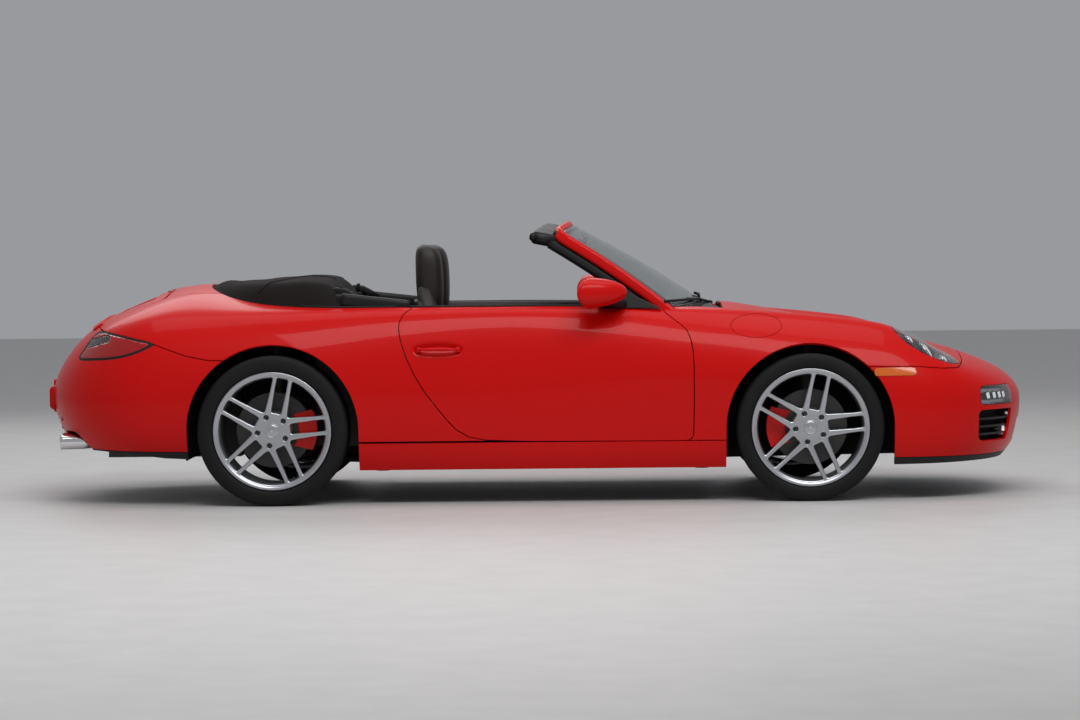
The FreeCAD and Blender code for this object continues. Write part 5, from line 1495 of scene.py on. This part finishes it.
def mirrorParts(sign):
    tag = sideName(sign)
    body = doorBody(sign)
    # teardrop shell: rings along X from the glass end to the nose
    rings = [(.204, .074, .053), (.196, .078, .057), (.192, .083, .061), (.197, .088, .064),
        (.215, .092, .067), (.245, .094, .067), (.285, .090, .064), (.325, .080, .057), (.360, .066, .047),
        (.388, .047, .034), (.405, .026, .020), (.411, .004, .003)]
    verts = []
    steps = 40
    for x, wide, high in rings:
        for k in range(steps):
            a = 2 * math.pi * k / steps
            c, s = math.cos(a), math.sin(a)
            y = .886 + wide * bent(c, .8) - .10 * (x - .196)
            rise = high * bent(s, .8)
            z = .918 + rise + .02 * (x - .196)
            bow = .034 * (rise / .062) ** 2 * max(0, 1 - (x - .19) / .08)
            verts.append((x + bow, sign * y, z))
    shell = fixNormals(meshObject("shell", verts, tubeFaces(len(rings), steps), "paint"))
    glass = []
    for k in range(steps):
        a = 2 * math.pi * k / steps
        c, s = math.cos(a), math.sin(a)
        for share in (1, .66, .33):
            rise = .053 * share * bent(s, .8)
            glass.append((.2035 + .034 * (rise / .062) ** 2, sign * (.886 + .0745 * share * bent(c, .8)),
                .918 + rise))
    faces = [tuple(3 * k + 2 for k in range(steps))]
    for k in range(steps):
        m = (k + 1) % steps
        faces += [(3 * k + i, 3 * m + i, 3 * m + i + 1, 3 * k + i + 1) for i in range(2)]
    face = meshObject("glass", glass, faces, "mirrorFace")
    walled(face, .004, 0)
    stalk = swept("stalk", [(.345, sign * .748, .868), (.34, sign * .775, .872), (.325, sign * .81, .880),
        (.31, sign * .84, .892)], roundBox(.115, .034, .015), "blackTrim", scale=[1.15, 1, .8, .62])
    corner = []
    for y in (.742, .758):
        for x, z in ((.565, .846), (.30, .852), (.305, .862), (.395, .925), (.408, .922)):
            corner.append((x, sign * (y - (z - .85) * .22), z))
    cornerFaces = [(0, 1, 2, 3, 4), (9, 8, 7, 6, 5)] + [(i, i + 5, (i + 1) % 5 + 5, (i + 1) % 5)
        for i in range(5)]
    sail = bevelled(fixNormals(meshObject("sail", corner, cornerFaces, "blackTrim", False)), .003, 2)
    place(joined("doorMirror" + tag, [shell, face, stalk, sail]), body, "mirror_" + tag.lower())


def beltSeal(sign):
    tag = sideName(sign)
    path = []
    for x in np.linspace(.560, -.555, 46):
        y = np.interp(x, [-.6, -.2, .2, .5, .62], [.728, .733, .728, .716, .690])
        path.append((x, sign * (y + .002), skinTop(x, y) + .001))
    seal = swept("seal", path, roundBox(.012, .012, .004), "seal")
    place(joined("beltSeal" + tag, [seal]), doorBody(sign))


for sign in (1, -1):
    doorShell(sign)
    doorHandle(sign)
    handleDish(sign)
    mirrorParts(sign)
    beltSeal(sign)
report("doors")


def padBody(name, stations, finish="leather", steps=40, power=.62):
    # stations: x, z, half width, depth ahead, depth behind, side bolster, lean in degrees
    verts = []
    k = np.array(stations, float)
    at = np.arange(len(k))
    fine = np.linspace(0, len(k) - 1, 5 * (len(k) - 1) + 1)
    k = np.stack([smoothThrough(at, k[:, c], fine) for c in range(k.shape[1])], 1)
    for x, z, half, ahead, behind, bolster, lean in k:
        out = (math.cos(math.radians(lean)), math.sin(math.radians(lean)))
        for i in range(steps):
            a = 2 * math.pi * i / steps
            c, s = math.cos(a), math.sin(a)
            y = half * bent(c, power)
            share = abs(y) / max(half, 1e-6)
            if s > 0:
                deep = ahead * abs(s) ** power + bolster * share ** 3.2 * abs(s) ** .4
            else:
                deep = -behind * abs(s) ** power
            verts.append((x + out[0] * deep, y, z + out[1] * deep))
    return fixNormals(meshObject(name, verts, tubeFaces(len(k), steps), finish))


def moved(obj, x=0, y=0, z=0):
    obj.data.transform(Matrix.Translation((x, y, z)))
    return obj


seat = {
    # x, z, half width, ahead, behind, bolster, lean
    "back": [(-.395, .440, .150, .020, .020, .004, -6), (-.398, .446, .205, .045, .040, .020, -6),
        (-.405, .49, .222, .052, .048, .050, -5), (-.425, .60, .232, .054, .050, .058, -6),
        (-.450, .72, .232, .050, .048, .052, -8), (-.468, .82, .215, .044, .046, .036, -10),
        (-.478, .885, .185, .040, .044, .018, -11), (-.482, .935, .140, .034, .042, .006, -12),
        (-.483, .955, .115, .028, .038, 0, -12)],
    "head": [(-.470, .846, .080, .024, .030, 0, -6), (-.470, .852, .116, .052, .046, 0, -6),
        (-.470, .90, .128, .060, .056, .004, -6), (-.471, .975, .130, .062, .060, .006, -6),
        (-.472, 1.04, .130, .060, .060, .006, -5), (-.474, 1.09, .123, .054, .057, .004, -5),
        (-.476, 1.120, .106, .040, .046, 0, -5), (-.480, 1.137, .066, .018, .022, 0, -5)],
    "base": [(-.400, .320, .150, .010, .010, 0, 80), (-.385, .325, .200, .050, .045, .010, 84),
        (-.30, .335, .225, .085, .060, .040, 88), (-.15, .350, .235, .090, .070, .046, 90),
        (0, .370, .238, .092, .078, .040, 93), (.085, .385, .232, .086, .080, .022, 96),
        (.125, .390, .215, .062, .070, .006, 98), (.140, .385, .170, .030, .040, 0, 98)],
}


def frontSeat(sign):
    tag = sideName(sign)
    y = sign * .37
    base = moved(padBody("seatCushion" + tag, seat["base"]), y=y)
    back = moved(padBody("seatBack" + tag, seat["back"]), y=y)
    head = moved(padBody("seatHead" + tag, seat["head"]), y=y)
    for piece, fill in ((base, .8), (back, .8), (head, .9)):
        place(piece, "chassis")
    parts = []
    shell = padBody("shell", [(x - .030, z, half + .004, ahead * .2 + .012, behind * .55 + .006,
        bolster * .4, lean) for x, z, half, ahead, behind, bolster, lean in seat["back"][:-2]], "blackTrim")
    parts.append(moved(shell, y=y))
    parts.append(block("frame", (-.36, y - .20, .250), (.10, y + .20, .315), "blackTrim", .02, 4))
    for rail in (-.165, .165):
        parts.append(block("rail", (-.36, y + rail - .018, .192), (.14, y + rail + .018, .252), "steel",
            .004, 2))
    parts.append(block("sideCover", (-.34, y + sign * .205 - .016, .262),
        (.06, y + sign * .205 + .016, .352), "blackTrim", .014, 4))
    parts.append(block("buckle", (-.30, y - sign * .245 - .012, .36), (-.262, y - sign * .245 + .012, .46),
        "blackTrim", .006))
    for line in (-.105, .105):
        seam = [(-.345 + .43 * k / 20, y + line, .4185 + .045 * k / 20 + .010 * math.sin(math.pi * k / 20))
            for k in range(21)]
        parts.append(swept("seam", seam, circle(.0022, 8), "leather"))
    place(joined("seatFrame" + tag, parts), "chassis", "seat_" + tag.lower())


def rearSeats():
    parts = []
    for sign in (1, -1):
        tag = sideName(sign)
        y = sign * .30
        cushion = padBody("rearCushion" + tag, [(-.955, .360, .10, .02, .02, 0, 90),
            (-.94, .362, .175, .055, .05, .01, 90), (-.85, .360, .19, .062, .06, .018, 90),
            (-.72, .368, .19, .062, .06, .014, 92), (-.655, .372, .17, .05, .05, 0, 94),
            (-.640, .370, .12, .02, .02, 0, 94)])
        back = padBody("rearBack" + tag, [(-.905, .44, .10, .02, .02, 0, 0),
            (-.91, .45, .175, .045, .035, .01, 0), (-.925, .55, .188, .048, .035, .02, 0),
            (-.940, .66, .182, .044, .03, .012, 0), (-.948, .715, .16, .034, .026, 0, 0),
            (-.950, .735, .12, .012, .012, 0, 0)])
        for piece in (moved(cushion, y=y), moved(back, y=y)):
            place(piece, "chassis")
    parts.append(block("shelf", (-.965, -.49, .250), (-.66, .49, .345), "leather", .02, 4))
    parts.append(block("wall", (-.968, -.53, .345), (-.930, .53, .735), "leather", .012, 4))
    place(joined("rearSeatFrame", parts), "chassis", "rear_seat")


for sign in (1, -1):
    frontSeat(sign)
rearSeats()
report("seats")


def foldedTop():
    knots = np.array([(-1.50, .955), (-1.455, .978), (-1.41, .986), (-1.36, .980), (-1.28, .984),
        (-1.15, .995), (-1.00, 1.004), (-.94, 1.001), (-.895, .984), (-.868, .955), (-.850, .925),
        (-.83, .90)])
    p, _, t = cut(bodyHalf, within(cockpitF, .008), beyond(0, -.846, -1))
    width = .115

    def heightAt(x, y, d):
        edge = np.clip(d / width, 0, 1)
        swell = np.clip(1 - (1 - edge) ** 2.6, 0, 1)
        top = smoothThrough(knots[:, 0], knots[:, 1], x) - .028 * (y / .6) ** 2
        pleat = .0012 * np.sin(x * 42 + y * 1.5) * edge * (np.abs(x + 1.1) < .34)
        return top * swell, pleat, swell

    def lifted(q):
        top, pleat, swell = heightAt(q[:, 0], q[:, 1], cockpitF(q) - .004)
        return top + (q[:, 2] - .004) * (1 - swell) + pleat

    e = 2e-3
    gx = (lifted(p + [e, 0, 0]) - lifted(p - [e, 0, 0])) / (2 * e)
    gy = (lifted(p + [0, e, 0]) - lifted(p - [0, e, 0])) / (2 * e)
    nn = np.stack([-gx, -gy, np.ones(len(p))], 1)
    nn /= np.linalg.norm(nn, axis=1, keepdims=True)
    q = p.copy()
    q[:, 2] = lifted(p)
    canvas = panelObject("foldedTop", (q, nn, t), "fabric", edge=.018, both=True)
    place(canvas, "chassis", "soft_top")

    def onTop(x, y):
        point = np.array([[x, abs(y), skinTop(x, y)]])
        return float(lifted(point)[0])

    parts = []
    for sign in (1, -1):
        seam = []
        for k in range(25):
            u = k / 24
            y = .560 - .30 * u
            x = -1.225 + .155 * u ** .6
            seam.append((x, sign * y, onTop(x, y) + .0005))
        parts.append(swept("seam", seam, circle(.0035, 8), "fabric"))
        seam = [(x, sign * .255, onTop(x, .255) + .0005) for x in np.linspace(-1.07, -.90, 12)]
        parts.append(swept("seamAhead", seam, circle(.003, 8), "fabric"))
        hinge = [(-.905, sign * .610, .928), (-.875, sign * .615, .934), (-.835, sign * .62, .930),
            (-.80, sign * .63, .912), (-.76, sign * .64, .892)]
        parts.append(swept("hinge", hinge, roundBox(.020, .034, .009), "blackTrim", scale=[.8, 1, 1, .9, .7]))
        parts.append(block("catch", (-.862, sign * .605 - .009, .925), (-.846, sign * .605 + .009, .958),
            "seal", .005, 4))
        parts.append(block("hingePad", (-.905, sign * .63 - .022, .868), (-.835, sign * .63 + .022, .922),
            "blackTrim", .012, 4))
    place(joined("foldedTopTrim", parts), "chassis")
    # dark edge along each side of the opening
    rim = []
    for x in np.linspace(-.60, -1.04, 14):
        y = np.interp(-x, [.5, .6, .85, 1.05], [.731, .728, .712, .672]) - .006
        rim.append(Vector((x, y, skinTop(x, y) + .001)))
    edges = []
    for sign in (1, -1):
        edges.append(swept("rim", [(v.x, v.y * sign, v.z) for v in rim], roundBox(.014, .012, .004), "seal"))
        # rail that falls from the folded top to the door
        rail = []
        for k in range(16):
            u = k / 15
            x = -.845 + .30 * u
            y = np.interp(-x, [.5, .6, .85, 1.05], [.731, .728, .712, .672]) - .042
            z = skinTop(x, y) + .048 - .034 * u
            rail.append((x, sign * y, z - .020))
        edges.append(swept("rail", rail, roundBox(.052, .060, .016), "blackTrim"))
    place(joined("openingTrim", edges), "chassis", "cabin_trim")
    # inner panels beside the rear seats and along the sills
    lining = []
    for sign in (1, -1):
        lining += [
            block("sidePanel", (-.975, sign * .654, .250), (-.600, sign * .672, .845), "leather", .006),
            block("rearWell", (-.975, sign * .500, .250), (-.958, sign * .672, .800), "leather", .006),
            block("sillCover", (-.600, sign * .640, .205), (.610, sign * .700, .268), "blackTrim", .010)]
    place(joined("cabinLining", lining), "chassis")


foldedTop()
report("folded top")


dash = {
    "driverY": .37,
    "wheelMid": (.2225, .37, .722),
    "wheelTilt": 24,
    "wheelRadius": .172,
    # middle across, radius
    "dials": [(.118, .036), (.066, .047), (0, .058), (-.066, .047), (-.118, .036)],
    "profile": [(.788, .562), (.788, .772), (.70, .800), (.577, .803), (.49, .799), (.445, .778),
        (.432, .745), (.430, .70), (.436, .655), (.462, .605), (.560, .562)],
}


def profileBlock(name, loop, y0, y1, finish, edge=.008):
    count = len(loop)
    verts = [(x, y, z) for y in (y0, y1) for x, z in loop]
    faces = [tuple(range(count)), tuple(range(count, 2 * count))[::-1]]
    faces += [(i, (i + 1) % count, count + (i + 1) % count, count + i) for i in range(count)]
    return bevelled(fixNormals(meshObject(name, verts, faces, finish)), edge, 4, 20)


def dialFace(y, radius):
    parts = [lathed("face", [(0, .0001), (0, radius), (-.004, radius), (-.004, .0001)], "dial", 48, "Z")]
    parts.append(lathed("ring", [(-.002, radius * .985), (.006, radius * .975), (.009, radius * 1.01),
        (.006, radius * 1.05), (-.002, radius * 1.05)], "chrome", 48, "Z"))
    for k in range(25):
        a = math.radians(220 - k * 260 / 24)
        length = .009 if k % 4 == 0 else .005
        r = radius * .93
        c, d = math.cos(a), math.sin(a)
        w = .0008
        verts = [(r * c - w * d, r * d + w * c, .001), (r * c + w * d, r * d - w * c, .001),
            ((r - length) * c + w * d, (r - length) * d - w * c, .001),
            ((r - length) * c - w * d, (r - length) * d + w * c, .001)]
        parts.append(meshObject("mark", verts, [(0, 1, 2, 3)], "mark", False))
    a = math.radians(205)
    needle = [(-.010 * math.cos(a), -.010 * math.sin(a), .004),
        (radius * .8 * math.cos(a), radius * .8 * math.sin(a), .004)]
    parts.append(swept("needle", needle, roundBox(.0022, .0012, .0004, 2), "mark"))
    parts.append(lathed("hub", [(.001, .0001), (.001, .006), (.006, .005), (.007, .0001)], "blackTrim", 24,
        "Z"))
    where = (.402, dash["driverY"] + y, .785 - abs(y) * .12)
    return facing(parts, where, (-.94, 0, .34), (0, -1, 0))


def dashboard():
    parts = [profileBlock("dashBody", dash["profile"], -.64, .64, "leather", .010)]
    hood = []
    for k in range(33):
        a = math.radians(180 * k / 32)
        hood.append(Vector((.452, dash["driverY"] + .183 * math.cos(a), .772 + .079 * math.sin(a) ** .72)))
    parts.append(hoodShell(hood))
    parts.append(profileBlock("dialBack", [(.520, .70), (.520, .83), (.428, .838), (.404, .728), (.43, .70)],
        dash["driverY"] - .172, dash["driverY"] + .172, "blackTrim", .006))
    for y, radius in dash["dials"]:
        parts += dialFace(y, radius)
    # middle stack with vents, screen, buttons and knobs
    parts.append(profileBlock("stack", [(.46, .40), (.46, .792), (.432, .792), (.398, .70), (.36, .56),
        (.30, .425), (.30, .40)], -.115, .115, "blackTrim", .008))
    for y in (-.058, .058):
        parts.append(block("vent", (.405, y - .048, .738), (.43, y + .048, .782), "gloss", .006))
        parts.append(slatStack("ventSlats", (.404, y, .745), .084, .010, .0016, 5, (.0009, 0, .0074), 12))
    parts.append(block("display", (.392, -.088, .655), (.402, .088, .728), "gloss", .004))
    for row in range(2):
        for k in range(6):
            y = -.075 + .030 * k
            x = .373 - .016 * row
            z = .630 - .040 * row
            parts.append(block("key", (x - .004, y - .012, z - .012), (x + .012, y + .012, z + .012), "seal",
                .002, 2))
    for y in (-.075, .075):
        knob = lathed("knob", [(0, .0001), (0, .015), (.010, .0155), (.017, .014), (.018, .0001)],
            "blackTrim", 32, "Z")
        parts += facing([knob], (.333, y, .545), (-.93, 0, .36), (0, 1, 0))
    for y in (-.56, .56):
        parts += [
            lathed("ventRing", [(0, .030), (.008, .034), (.008, .044), (0, .046)], "chrome", 48, "X",
                (.424, y, .742)),
            lathed("ventCore", [(.004, .0001), (.004, .031), (.012, .031), (.012, .0001)], "gloss", 40, "X",
                (.424, y, .742))]
    parts.append(block("trimStrip", (.4215, -.52, .694), (.434, -.12, .726), "silver", .004))
    parts.append(block("gloveLid", (.424, -.50, .585), (.444, -.14, .682), "leather", .006))
    parts.append(block("gloveCatch", (.416, -.345, .655), (.430, -.295, .668), "chrome", .003))
    tilt = math.radians(dash["wheelTilt"])
    axis = Vector((-math.cos(tilt), 0, math.sin(tilt)))
    mid = Vector(dash["wheelMid"])
    shroud = [mid - axis * .235, mid - axis * .16, mid - axis * .085, mid - axis * .050]
    parts.append(swept("shroud", shroud, roundBox(.082, .086, .028), "blackTrim", scale=[1.15, 1.1, 1, .84]))
    for sign in (1, -1):
        root = mid - axis * .085
        stalk = [root + Vector((0, sign * .03, 0)), root + Vector((-.012, sign * .085, .006)),
            root + Vector((-.020, sign * .135, .010))]
        parts.append(swept("stalk", stalk, roundBox(.013, .020, .006), "blackTrim", scale=[.8, 1, 1.1]))
    place(joined("dashboardFitted", parts), "chassis", "dashboard")


def hoodShell(line):
    # the cowl over the dials: an arched sheet with a thick edge
    verts = []
    stations = [(-.082, -.006), (-.078, .002), (-.04, .002), (.02, -.002), (.09, -.016)]
    for p in line:
        for dx, lift in stations:
            verts.append((p.x + dx, p.y, p.z + lift))
    hood = meshObject("hood", verts, sheetFaces(len(line), len(stations)), "leather")
    return bevelled(walled(hood, .007), .002, 2)


def steeringWheel():
    radius = dash["wheelRadius"]
    tilt = math.radians(dash["wheelTilt"])
    ring = [(radius * math.cos(a), radius * math.sin(a), .004) for a in np.linspace(0, 2 * math.pi, 97)[:-1]]
    parts = [swept("rim", ring, [(.0128 * math.cos(a), .0152 * math.sin(a))
        for a in np.linspace(0, 2 * math.pi, 17)[:-1]], "leather", closed=True)]
    pad = []
    for k in range(40):
        a = 2 * math.pi * k / 40
        pad.append((.058 + .010 * math.cos(2 * a) + .004 * math.cos(3 * a + math.pi / 2), a))
    rings = [(.010, .96), (.020, 1), (.032, .97), (.040, .86), (.044, .6)]
    verts = []
    for z, share in rings:
        for r, a in pad:
            verts.append((r * share * math.cos(a), r * share * math.sin(a), z - .022))
    parts.append(fixNormals(meshObject("pad", verts, tubeFaces(len(rings), len(pad)), "leather")))
    parts.append(lathed("hub", [(-.062, .0001), (-.062, .030), (-.030, .040), (-.012, .052), (-.010, .0001)],
        "blackTrim", 48, "Z"))
    parts.append(lathed("crest", [(.020, .0001), (.020, .0125), (.0245, .0115), (.0255, .0001)], "chrome",
        32, "Z"))
    for turn in (12, 168, 90):
        a = math.radians(turn)
        out = Vector((math.cos(a), math.sin(a), 0))
        path = [out * .045 + Vector((0, 0, -.004)), out * .085 + Vector((0, 0, -.010)),
            out * .130 + Vector((0, 0, -.006)), out * (radius - .006) + Vector((0, 0, .002))]
        parts.append(swept("spoke", path, roundBox(.034, .010, .004), "silver", scale=[1.25, 1, .85, 1]))
    facing(parts, dash["wheelMid"], (-math.cos(tilt), 0, math.sin(tilt)), (0, 1, 0))
    place(joined("steeringWheelFitted", parts), "helm", "steering_wheel")


def console():
    parts = [profileBlock("tunnel", [(-.50, .194), (-.50, .40), (-.48, .418), (-.10, .420), (.20, .424),
        (.33, .45), (.42, .56), (.61, .56), (.61, .194)], -.104, .104, "leather", .012)]
    parts.append(block("armrest", (-.46, -.078, .416), (-.12, .078, .488), "leather", .018, 5))
    parts.append(block("plinth", (-.085, -.082, .414), (.245, .082, .432), "blackTrim", .006))
    boot = lathed("boot", [(0, .0001), (0, .050), (.012, .047), (.034, .030), (.052, .016), (.056, .0001)],
        "leather", 32, "Z", (.12, 0, .430))
    stick = swept("stick", [(.12, 0, .47), (.108, 0, .545)], circle(.006), "chrome")
    knob = lathed("knob", [(-.022, .0001), (-.022, .012), (-.008, .021), (.010, .024), (.024, .019),
        (.030, .0001)], "leather", 32, "Z", (.105, 0, .563))
    parts += [boot, stick, knob]
    lever = [(-.06, .050, .436), (-.10, .050, .462), (-.22, .050, .492)]
    parts.append(swept("handbrake", lever, roundBox(.024, .022, .009), "leather", scale=[.8, .9, 1.1]))
    for y in (-.045, .020):
        parts.append(lathed("cupRing", [(0, .030), (.004, .032), (.004, .037), (0, .038)], "chrome", 40, "Z",
            (.205, y - .01, .4325)))
    place(joined("consoleFitted", parts), "chassis", "console")


def pedals():
    parts = []
    for y, wide, z in ((.45, .028, .30), (.37, .034, .30), (.29, .024, .285)):
        parts.append(block("pad", (.560, y - wide, z - .035), (.574, y + wide, z + .035), "blackTrim", .004))
        parts.append(swept("arm", [(.576, y, z), (.64, y, z + .12), (.70, y, z + .26)],
            roundBox(.010, .016, .004), "steel"))
    place(joined("pedals", parts), "chassis")


dashboard()
steeringWheel()
console()
pedals()
report("dashboard")


def noseGrilles():
    parts = []
    for sign in (1, -1):
        for z in (.278, .312, .346):
            line = [(skinFront(y, z) - .034, sign * y, z) for y in np.linspace(.425, .742, 14)]
            parts.append(swept("slat", line, roundBox(.038, .011, .004), "blackTrim"))
        mid = (skinFront(.485, .292) - .030, sign * .485, .292)
        lamp = reflectorLamp(.0255, .016)
        parts += facing(lamp, mid, (.94, sign * .34, 0), (0, 0, 1))
        cup = lathed("cup", [(-.004, .027), (-.045, .031), (-.045, .033), (0, .0325)], "gloss", 40, "X",
            (mid[0] - .004, mid[1], mid[2]))
        parts.append(cup)
    for z in (.255, .276, .297, .318):
        line = [(skinFront(y, z) - .036, y, z) for y in np.linspace(-.335, .335, 25)]
        parts.append(swept("slat", line, roundBox(.022, .007, .003), "blackTrim"))
    for k in range(13):
        y = -.30 + .05 * k
        line = [(skinFront(y, z) - .040, y, z) for z in (.238, .26, .285, .31, .332)]
        parts.append(swept("rib", line, roundBox(.006, .016, .0025, 3), "blackTrim", up=(1, 0, 0)))
    place(joined("noseGrilles", parts), "chassis", "intake_grilles")


def exhausts():
    parts = []
    # tail pipe from its hidden end to its lip and back inside, and a near-black disc deep in it, painted
    # shade for the pipe's inside
    tube = [(.150, .028), (.100, .033), (.012, .0345), (0, .0365), (-.003, .0345), (-.002, .0315),
        (.012, .0305), (.13, .026)]
    disc = [(0, .0001), (0, .0300), (.004, .0300), (.004, .0001)]
    for sign in (1, -1):
        for y in (.513, .588):
            parts += [
                lathed("tip", tube, "chrome", 56, "X", (-2.108, sign * y, .276)),
                lathed("dark", disc, "shade", 40, "X", (-2.02, sign * y, .276))]
        parts.append(block("silencer", (-1.95, sign * .36, .236), (-1.705, sign * .64, .322), "steel", .032,
            6))
        pipe = [(-1.96, sign * .55, .277), (-1.90, sign * .54, .277)]
        parts.append(swept("neck", pipe, roundBox(.14, .056, .026), "steel"))
        pipe = [(-1.72, sign * .46, .28), (-1.66, sign * .44, .29), (-1.58, sign * .36, .30),
            (-1.50, sign * .30, .30)]
        parts.append(swept("downpipe", pipe, circle(.026, 20), "steel"))
    place(joined("exhaustFitted", parts), "chassis", "exhaust")


def tailDetails():
    guard = []
    for sign in (1, -1):
        line = [(skinBack(y, .462) + .001, sign * y, .462) for y in np.linspace(.180, .375, 14)]
        guard.append(swept("guard", line, roundBox(.046, .104, .020), "paint"))
    place(joined("bumperGuards", guard), "chassis")
    plate = [block("plate", (-2.2075, -.1525, .394), (-2.2045, .1525, .534), "plate", .002),
        block("holder", (-2.2055, -.157, .389), (-2.165, .157, .539), "paint", .006)]
    for y in (-.115, .115):
        plate.append(lathed("screw", [(0, .0001), (0, .006), (-.002, .005), (-.0025, .0001)], "chrome", 20,
            "X", (-2.2075, y, .520)))
    place(joined("blankPlate", plate), "chassis")
    strips = []
    for sign in (1, -1):
        line = [(skinBack(y, .375) - .0005, sign * y, .375) for y in np.linspace(.42, .52, 10)]
        strips.append(swept("reflector", line, roundBox(.006, .020, .0025), "lampRed"))
    place(joined("rearReflectors", strips), "chassis")
    stop = [(-1.668, y, skinTop(-1.668, y) + .0014) for y in np.linspace(-.15, .15, 21)]
    place(swept("thirdBrakeLamp", stop, roundBox(.016, .008, .0035), "lampRed"), "rear_lid")
    bars, ribs = [], []
    pitch = -.0186
    for sign in (1, -1):
        for mid, wide in ((.083, .158), (.250, .164)):
            y = sign * mid
            fall = (skinTop(-1.725, y) - skinTop(-1.855, y)) / .13
            bars.append(slatStack("slat", (-1.725, y, skinTop(-1.725, y) - .010), wide, .0125, .004, 8,
                (pitch, 0, pitch * fall), 4, "paint"))
        for y in (.003, .166, .333):
            line = [(x, sign * y, skinTop(x, y) - .012) for x in np.linspace(-1.716, -1.864, 9)]
            ribs.append(swept("rib", line, roundBox(.008, .018, .003, 3), "paint"))
    # a near-black sheet under the louvres: painted shade for the space below them
    tray = [(x, y, skinTop(x, abs(y)) - .030) for x in np.linspace(-1.70, -1.88, 8)
        for y in np.linspace(-.355, .355, 17)]
    place(walled(meshObject("engineLidTray", tray, sheetFaces(8, 17), "shade"), .002), "rear_lid")
    place(joined("engineLidLouvres", bars + ribs), "rear_lid")


noseGrilles()
exhausts()
tailDetails()
report("grilles and exhaust")


def dressSolids():
    # solids that no piece of this script replaces
    look = {
        "underbody": ["floor_pan", "luggage_tub", "rear_frame"],
        "iron": ["engine", "gearbox", "knuckle_left", "knuckle_right", "suspension_front", "suspension_rear"],
        "disc": ["brake_disc_" + end + side for end in ("front", "rear") for side in ("_left", "_right")],
        "caliper": ["caliper_front_left", "caliper_front_right", "calipers_rear"],
    }
    for finish, names in look.items():
        for name in names:
            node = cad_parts[name]
            node.data.materials.clear()
            node.data.materials.append(mats[finish])


dressSolids()


studio = {
    "floorSize": 60,
    "cameraPlace": (.20, -15.78, 1.1),
    "lens": 114.1,
    "tilt": 1.81,
    "roll": .55,
    "yaw": .658,
    "keyPower": 330,
    "fillPower": 130,
    "worldLight": .34,
}


def areaLight(name, where, aim, wide, high, power):
    data = bpy.data.lights.new(name, "AREA")
    data.shape = "RECTANGLE"
    data.size = wide
    data.size_y = high
    data.energy = power
    light = linked(name, data)
    light.location = where
    light.rotation_euler = (Vector(aim) - Vector(where)).to_track_quat("-Z", "Y").to_euler()


def setStudio():
    half = studio["floorSize"] / 2
    data = bpy.data.meshes.new("floor")
    data.from_pydata([(-half, -half, 0), (half, -half, 0), (half, half, 0), (-half, half, 0)], [],
        [(0, 1, 2, 3)])
    data.materials.append(mats["floor"])
    linked("floor", data)
    areaLight("keyLight", (1.5, -5.5, 6.5), (0, 0, .5), 7, 3, studio["keyPower"])
    areaLight("topLight", (0, 0, 7), (0, 0, 0), 8, 4, studio["fillPower"])
    areaLight("backLight", (-2, 6, 5), (0, 0, .6), 7, 3, studio["fillPower"])
    world = bpy.data.worlds.new("world")
    world.use_nodes = True
    world.node_tree.nodes["Background"].inputs["Color"].default_value = (.93, .95, 1, 1)
    world.node_tree.nodes["Background"].inputs["Strength"].default_value = studio["worldLight"]
    bpy.context.scene.world = world
    lens = bpy.data.cameras.new("camera")
    lens.lens = studio["lens"]
    lens.sensor_width = 36
    lens.clip_end = 200
    camera = linked("camera", lens)
    camera.location = studio["cameraPlace"]
    tilt = math.radians(90 - studio["tilt"])
    turn = Matrix.Rotation(math.radians(studio["yaw"]), 3, "Z") @ Matrix.Rotation(tilt, 3, "X")
    camera.rotation_euler = (turn @ Matrix.Rotation(math.radians(-studio["roll"]), 3, "Z")).to_euler()
    bpy.context.scene.camera = camera
    bpy.context.scene.view_settings.view_transform = "Standard"


setStudio()
